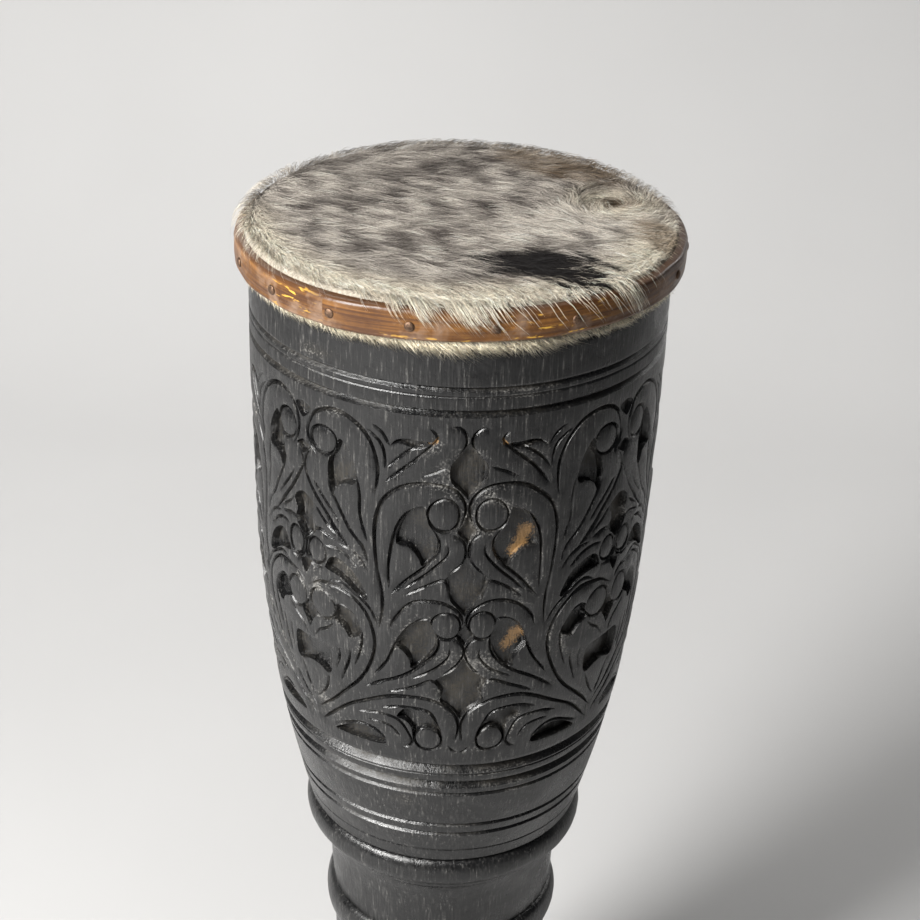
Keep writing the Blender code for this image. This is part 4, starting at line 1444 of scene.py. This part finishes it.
    def trimmed_edge(self, material: bpy.types.Material) -> None:
        """Short cream hairs of the hide's trimmed edge, standing out and down under the hoop, painted
        brighter at the front as light falling on them.
        """
        rng = np.random.default_rng(9)
        count = self.trimmed_count
        azimuth = rng.uniform(0, 360, count)
        clump = 0.5 + 0.5 * self.trimmed_swell.at(azimuth, 0 * azimuth, 40, 1)
        longer = 3.4 * bell(turn_from(0, azimuth) / 26)
        length = (2.4 + 3.2 * rng.uniform(0, 1, count) + 2.0 * clump + longer) * MM
        start = self.height - self.hoop_depth + rng.uniform(-3.0, 0.5, count) * MM
        root = np.full(count, self.radius - 0.2 * MM) + rng.uniform(-0.8, 0.8, count) * MM
        lean = rng.uniform(0.15, 0.75, count)
        drift = rng.normal(16, 9, count)
        stations = 2
        shares = np.arange(stations + 1) / stations
        radius = root[:, None] + length[:, None] * lean[:, None] * shares * 0.6
        level = start[:, None] - length[:, None] * shares * (1 - 0.25 * lean[:, None])
        spine = wrap(radius, azimuth[:, None] + shares * (drift * length / 0.105)[:, None] * 3.2, level)
        width = self.trimmed_width * rng.uniform(0.6, 1.3, count)
        taper = width[:, None] * (1 - 0.6 * np.arange(stations) / stations)
        points, faces = tubes(spine, np.array([0.31, 0.17, 0.93]), taper, 1.0)
        chance = rng.uniform(0, 1, count)
        light = (0.82 + 0.18 * chance)[:, None]
        tone = tint(np.array(self.pattern.brown), light, self.pattern.cream)
        # Brighter towards the front: painted light on the hairs under the hoop
        front = smooth(-0.6, 0.6, np.cos(np.radians(azimuth - 5)))[:, None]
        tone = np.minimum(tone * (0.86 + 0.36 * front), (1.0, 0.93, 0.74))
        colour = np.concatenate([tone, np.ones((count, 1))], -1)
        colour = np.repeat(colour[:, None], stations * 3 + 1, 1).reshape(-1, 4)
        make_piece("skirt_fringe", points, faces, material, {"coat": colour}, 180)

    def build(self) -> None:
        """Make the hide and all its hair."""
        self.hide()
        material = GoatHair().material()
        self.coat(material)
        self.fringe(material)
        self.trimmed_edge(material)


def tubes(spine: Array, up: Array, width: Array, flat: float) -> tuple[Array, Array]:
    """Closed hairs along lines: a three-cornered section that ends in a point.

    Args:
        spine: Lines: hairs, stations and x, y, z.
        up: Arrow across the hair, for each station or one for all.
        width: Width of each hair at each station but the last.
        flat: Thickness of a hair as a share of its width.

    Returns:
        Points and faces of all the hairs.
    """
    count, whole, _ = spine.shape
    stations = whole - 1
    way = unit(np.gradient(spine, axis=1))
    side = unit(np.cross(way, up))
    over = np.cross(side, way)
    rings = []
    for turn in HAIR_CORNERS:
        offset = side[:, :-1] * math.cos(turn) + over[:, :-1] * math.sin(turn) * flat
        rings.append(spine[:, :-1] + offset * width[..., None] * 0.5)
    points = np.concatenate([np.stack(rings, 2).reshape(count, stations * 3, 3), spine[:, -1:]], 1)
    per = stations * 3 + 1
    quads = [[3 * s + k, 3 * s + 3 + k, 3 * s + 3 + (k + 1) % 3, 3 * s + (k + 1) % 3]
             for s in range(stations - 1) for k in range(3)]
    last = 3 * (stations - 1)
    tips = [[last + k, per - 1, last + (k + 1) % 3, -1] for k in range(3)] + [[0, 1, 2, -1]]
    shape = np.array(quads + tips)[None]
    faces = np.where(shape >= 0, shape + np.arange(count)[:, None, None] * per, -1)
    return points.reshape(-1, 3), faces.reshape(-1, 4)


@dataclass
class CaneHoop:
    """The cane strip round the rim: eased edges, a lapped joint and an uneven lower edge."""

    inner: float
    outer: float
    top: float
    bottom: float
    lap_azimuth: float = -33.0
    lap_length: float = 36.0
    lap_rise: float = 1.1 * MM
    slant: float = 2.9 * MM
    high_azimuth: float = 25.0
    sag: float = 0.9 * MM
    nail_azimuths: Array = field(default_factory=lambda: -11.0 + 20.0 * np.arange(18))
    columns: int = 720
    ease: float = 1.5 * MM
    crown: float = 0.45 * MM
    # The scored line: its share of the height, its reach and its depth
    score: tuple = (0.17, 0.035, 0.35 * MM)
    broad: Swell = Swell(41)
    narrow: Swell = Swell(42)
    lift: Swell = Swell(43)
    # Chipped varnish: azimuth and reach in degrees, strength
    chips: tuple = ((-44, 7, 1.0), (20, 7, 1.0), (30, 6, 0.9), (110, 12, 0.6), (200, 14, 0.8), (265, 9, 0.7))

    def lap(self, azimuth: Array) -> Array:
        """How far the outer face stands out behind the lapped end."""
        behind = (azimuth - self.lap_azimuth) % 360
        return self.lap_rise * np.clip(1 - behind / self.lap_length, 0, 1)

    def drop(self, azimuth: Array, share: Array) -> Array:
        """How far the strip sits below its place: it slants down away from its high azimuth.

        Args:
            azimuth: Azimuths in degrees.
            share: 0 on the strip's lower edge to 1 on its upper edge.

        Returns:
            Drops in metres.
        """
        low = self.slant * (1 - np.cos(np.radians(azimuth - self.high_azimuth)))
        return low + (self.sag + low * 0.25) * (1 - share)

    def build(self) -> bpy.types.Object:
        """Carry the strip's section round the rim as a grid."""
        count, ease = self.columns, self.ease
        azimuth = np.arange(count) * (360 / count) + self.lap_azimuth + 0.02
        turns = np.linspace(-math.pi / 2, math.pi / 2, 7)
        thick, tall = self.outer - self.inner, self.top - self.bottom
        section = [(0.0, self.bottom)]
        section += [(thick - ease + ease * math.cos(t), self.bottom + ease + ease * math.sin(t))
                    for t in turns[:4]]
        mids = np.linspace(0.12, 0.88, 12)
        section += [(thick, self.bottom + tall * s) for s in mids]
        section += [(thick - ease + ease * math.cos(t), self.top - ease + ease * math.sin(t))
                    for t in turns[3:]]
        section += [(0.0, self.top)]
        out, level = np.array(section).T
        grid_out = out[:, None] + 0 * azimuth
        grid_level = level[:, None] + 0 * azimuth
        face = smooth(0.4, 0.95, out / thick)[:, None]
        turned = azimuth[None] + 0 * grid_out
        height_share = (grid_level - self.bottom) / tall
        crown = self.crown * np.sin(math.pi * np.clip(height_share, 0, 1))
        dents = self.broad.at(turned, grid_level, 26, 60) * 0.22 * MM
        dents = dents + self.narrow.at(turned, grid_level, 5, 10) * 0.3 * MM
        place, reach, deep = self.score
        split = -deep * bell((height_share - place) / reach)
        radius = self.inner + grid_out + face * (self.lap(turned) + crown + dents + split - 0.35 * MM)
        wave = self.lift.at(turned, 0 * turned, 9, 1) * 0.4 * MM
        level_now = grid_level - self.drop(turned, height_share) + wave * (1 - 0.5 * height_share)
        points = wrap(radius, turned, level_now).reshape(-1, 3)
        rows = len(out)
        faces = grid_faces(rows, count, True)
        closing = grid_faces(2, count, True)
        closing = np.where(closing >= count, closing - count, closing + (rows - 1) * count)
        faces = np.vstack([faces, closing])
        strip = np.stack([np.radians(turned) * self.outer, grid_level, grid_out], -1).reshape(-1, 3)
        share = height_share.ravel()
        # Painted shadow of the hair along the upper edge, and the dark scored line
        edge = np.clip(smooth(0.84, 0.97, share) * 0.8 + bell((share - place) / 0.03) * 0.5, 0, 1)
        wear = np.zeros(points.shape[0])
        for where, reach, much in self.chips:
            wear = np.maximum(wear, much * bell(turn_from(where, turned.ravel()) / reach))
        front = smooth(38, 20, np.abs(turned.ravel() + 2))
        wear = np.maximum(wear, 0.85 * front * bell((share - 0.08) / 0.06))
        piece = make_piece("hoop_cane", points, faces, VarnishedCane().material(),
                           {"strip": strip, "edge": edge, "chip": wear})
        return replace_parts(piece, "hoop_band")


@dataclass
class NailSet:
    """Small domed nails through the hoop, each a turned shape standing for its own node."""

    azimuths: Array
    height: float
    hoop: CaneHoop
    head_radius: float = 2.4 * MM
    head_height: float = 0.9 * MM
    shank_radius: float = 0.9 * MM
    shank: float = 13.5 * MM
    sides: int = 20
    seed: int = 12
    # Largest turn of a nail out of its place, in radians, and how far it stands off the cane
    turn: float = 0.08
    stand: float = 0.35 * MM
    rise: float = 0.4 * MM

    def build(self) -> None:
        """Turn one nail's profile about each nail's own axis."""
        material = BrownedIron().material()
        turns = np.linspace(0, math.pi / 2, 7)[1:]
        profile = [(self.head_radius * math.sin(t), self.head_height * math.cos(t)) for t in turns]
        profile += [(self.head_radius * 0.92, -0.25 * MM), (self.shank_radius, -0.3 * MM),
                    (self.shank_radius * 0.8, -self.shank * 0.7)]
        spin = np.arange(self.sides) * 2 * math.pi / self.sides
        rings = [np.stack([r * np.cos(spin), r * np.sin(spin), z + 0 * spin], -1) for r, z in profile]
        local = np.vstack([*rings, [[0, 0, self.head_height]], [[0, 0, -self.shank]]])
        faces = capped_faces(len(profile), self.sides)
        rng = np.random.default_rng(self.seed)
        for index, azimuth in enumerate(self.azimuths):
            out = Vector(wrap(np.array(1.0), np.array(azimuth), np.array(0.0)))
            tilt = Matrix.Rotation(rng.uniform(-self.turn, self.turn), 3, "Z")
            turn = np.array(tilt @ out.to_track_quat("Z", "Y").to_matrix())
            seat = self.hoop.outer + self.stand + float(self.hoop.lap(np.array(azimuth)))
            low = float(self.hoop.drop(np.array(azimuth), np.array(0.5))) - self.rise
            foot = wrap(np.array(seat), np.array(azimuth), np.array(self.height - low))
            name = f"nail_head_{index + 1:02d}"
            piece = make_piece(name, local @ turn.T + foot, faces, material)
            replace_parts(piece, f"nail_{index + 1:02d}")


@dataclass(frozen=True)
class SoftLight:
    """A rectangular light: where it hangs, what it is aimed at, its two sides and its power."""

    name: str
    place: tuple
    aim: tuple
    size: tuple
    watts: float
    colour: tuple = (1.0, 0.99, 0.97)


@dataclass
class Studio:
    """Floor, soft lights and the camera of the photograph's view."""

    head_height: float
    head_radius: float = HEAD_RADIUS
    # Camera place from the head's centre, in head radii
    station: tuple = (0.0305, -8.617, 3.4215)
    pitch: float = 28.565
    roll: float = 1.91
    lens: float = 78.26
    sensor: float = 36.0
    sight: tuple = (0.05, 20.0)
    lights: tuple = (
        SoftLight("window", (-1.15, -1.05, 1.30), (-0.25, -0.35, 0.22), (0.5, 0.9), 78.0),
        SoftLight("ceiling", (-0.4, 1.15, 1.5), (0.2, 1.5, 0.2), (1.2, 0.5), 13.0),
        SoftLight("fill", (1.3, 1.4, 1.1), (0.6, 0.7, 0.0), (0.4, 0.8), 9.0),
    )
    room: tuple = (0.90, 0.92, 0.96, 1)
    room_light: float = 0.08
    # The sweep: reach of the floor, where it starts to curve, the curve's radius, its two paints
    reach: float = 3.0
    curve_start: float = 0.9
    curve: float = 0.5
    paint: tuple = ((0.49, 0.487, 0.485), (0.54, 0.537, 0.535))

    def camera(self) -> None:
        """Aim the camera as the photograph's was."""
        data = bpy.data.cameras.new("view")
        data.lens, data.sensor_width = self.lens, self.sensor
        data.clip_start, data.clip_end = self.sight
        eye = bpy.data.objects.new("view", data)
        head = Vector((0, 0, self.head_height))
        eye.location = Vector(self.station) * self.head_radius + head
        raised = Matrix.Rotation(math.radians(90 - self.pitch), 3, "X")
        rolled = Matrix.Rotation(math.radians(self.roll), 3, "Z")
        eye.rotation_euler = (raised @ rolled).to_euler()
        bpy.context.scene.collection.objects.link(eye)
        bpy.context.scene.camera = eye

    @staticmethod
    def _hang(light: SoftLight) -> None:
        """Hang one light and aim it."""
        data = bpy.data.lights.new(light.name, "AREA")
        data.shape = "RECTANGLE"
        data.size, data.size_y = light.size
        data.energy, data.color = light.watts, light.colour
        lamp = bpy.data.objects.new(light.name, data)
        lamp.location = light.place
        lamp.rotation_euler = (Vector(light.aim) - Vector(light.place)).to_track_quat("-Z", "Y").to_euler()
        bpy.context.scene.collection.objects.link(lamp)

    def floor(self) -> None:
        """A pale sweep: floor that curves up into a wall behind, as one grid."""
        turns = np.linspace(0, math.pi / 2, 13)
        start, curve = self.curve_start, self.curve
        line = [(-self.reach, 0.0), (start, 0.0)]
        line += [(start + curve * math.sin(t), curve - curve * math.cos(t)) for t in turns[1:]]
        line += [(start + curve, self.reach)]
        y, z = (values[:, None] for values in np.array(line).T)
        x = np.linspace(-self.reach, self.reach, 5)
        points = np.stack([x[None] + 0 * y, y + 0 * x, z + 0 * x], -1).reshape(-1, 3)
        bench = Bench("pale_paint")
        cloud = bench.noise(EVEN, 3.0, 2.0, 0.5)
        base = bench.blend(cloud, *self.paint)
        material = bench.finish({"Roughness": 0.8}, {"Base Color": base})
        mesh = bpy.data.meshes.new("floor")
        mesh.from_pydata(points.tolist(), [], grid_faces(len(y), len(x), False).tolist())
        mesh.shade_smooth()
        mesh.materials.append(material)
        sweep = bpy.data.objects.new("floor", mesh)
        bpy.context.scene.collection.objects.link(sweep)

    def build(self) -> None:
        """Set up everything that isn't the drum."""
        world = bpy.data.worlds.new("room")
        bpy.context.scene.world = world
        world.use_nodes = True
        shade = world.node_tree.nodes["Background"]
        shade.inputs["Color"].default_value = self.room
        shade.inputs["Strength"].default_value = self.room_light
        for light in self.lights:
            self._hang(light)
        self.floor()
        self.camera()
        bpy.context.scene.view_settings.view_transform = "Standard"


def main() -> None:
    """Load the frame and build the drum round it."""
    logging.basicConfig(level=logging.INFO, format="%(message)s")
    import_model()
    hoop_low, hoop_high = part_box("hoop_band")
    head_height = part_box("goatskin_head")[1].z
    hoop_outer = -hoop_low.y
    Studio(head_height).build()
    CarvedBody(TurnedProfile(head_height), PalmetteDrawing()).build()
    hoop = CaneHoop(HOOP_INNER, HOOP_OUTER, hoop_high.z, hoop_low.z)
    hoop.build()
    NailSet(hoop.nail_azimuths, head_height - NAIL_DEPTH, hoop).build()
    GoatskinHead(HEAD_RADIUS, head_height, hoop_outer, head_height - hoop_low.z, CoatPattern()).build()


if __name__ == "__main__":
    main()
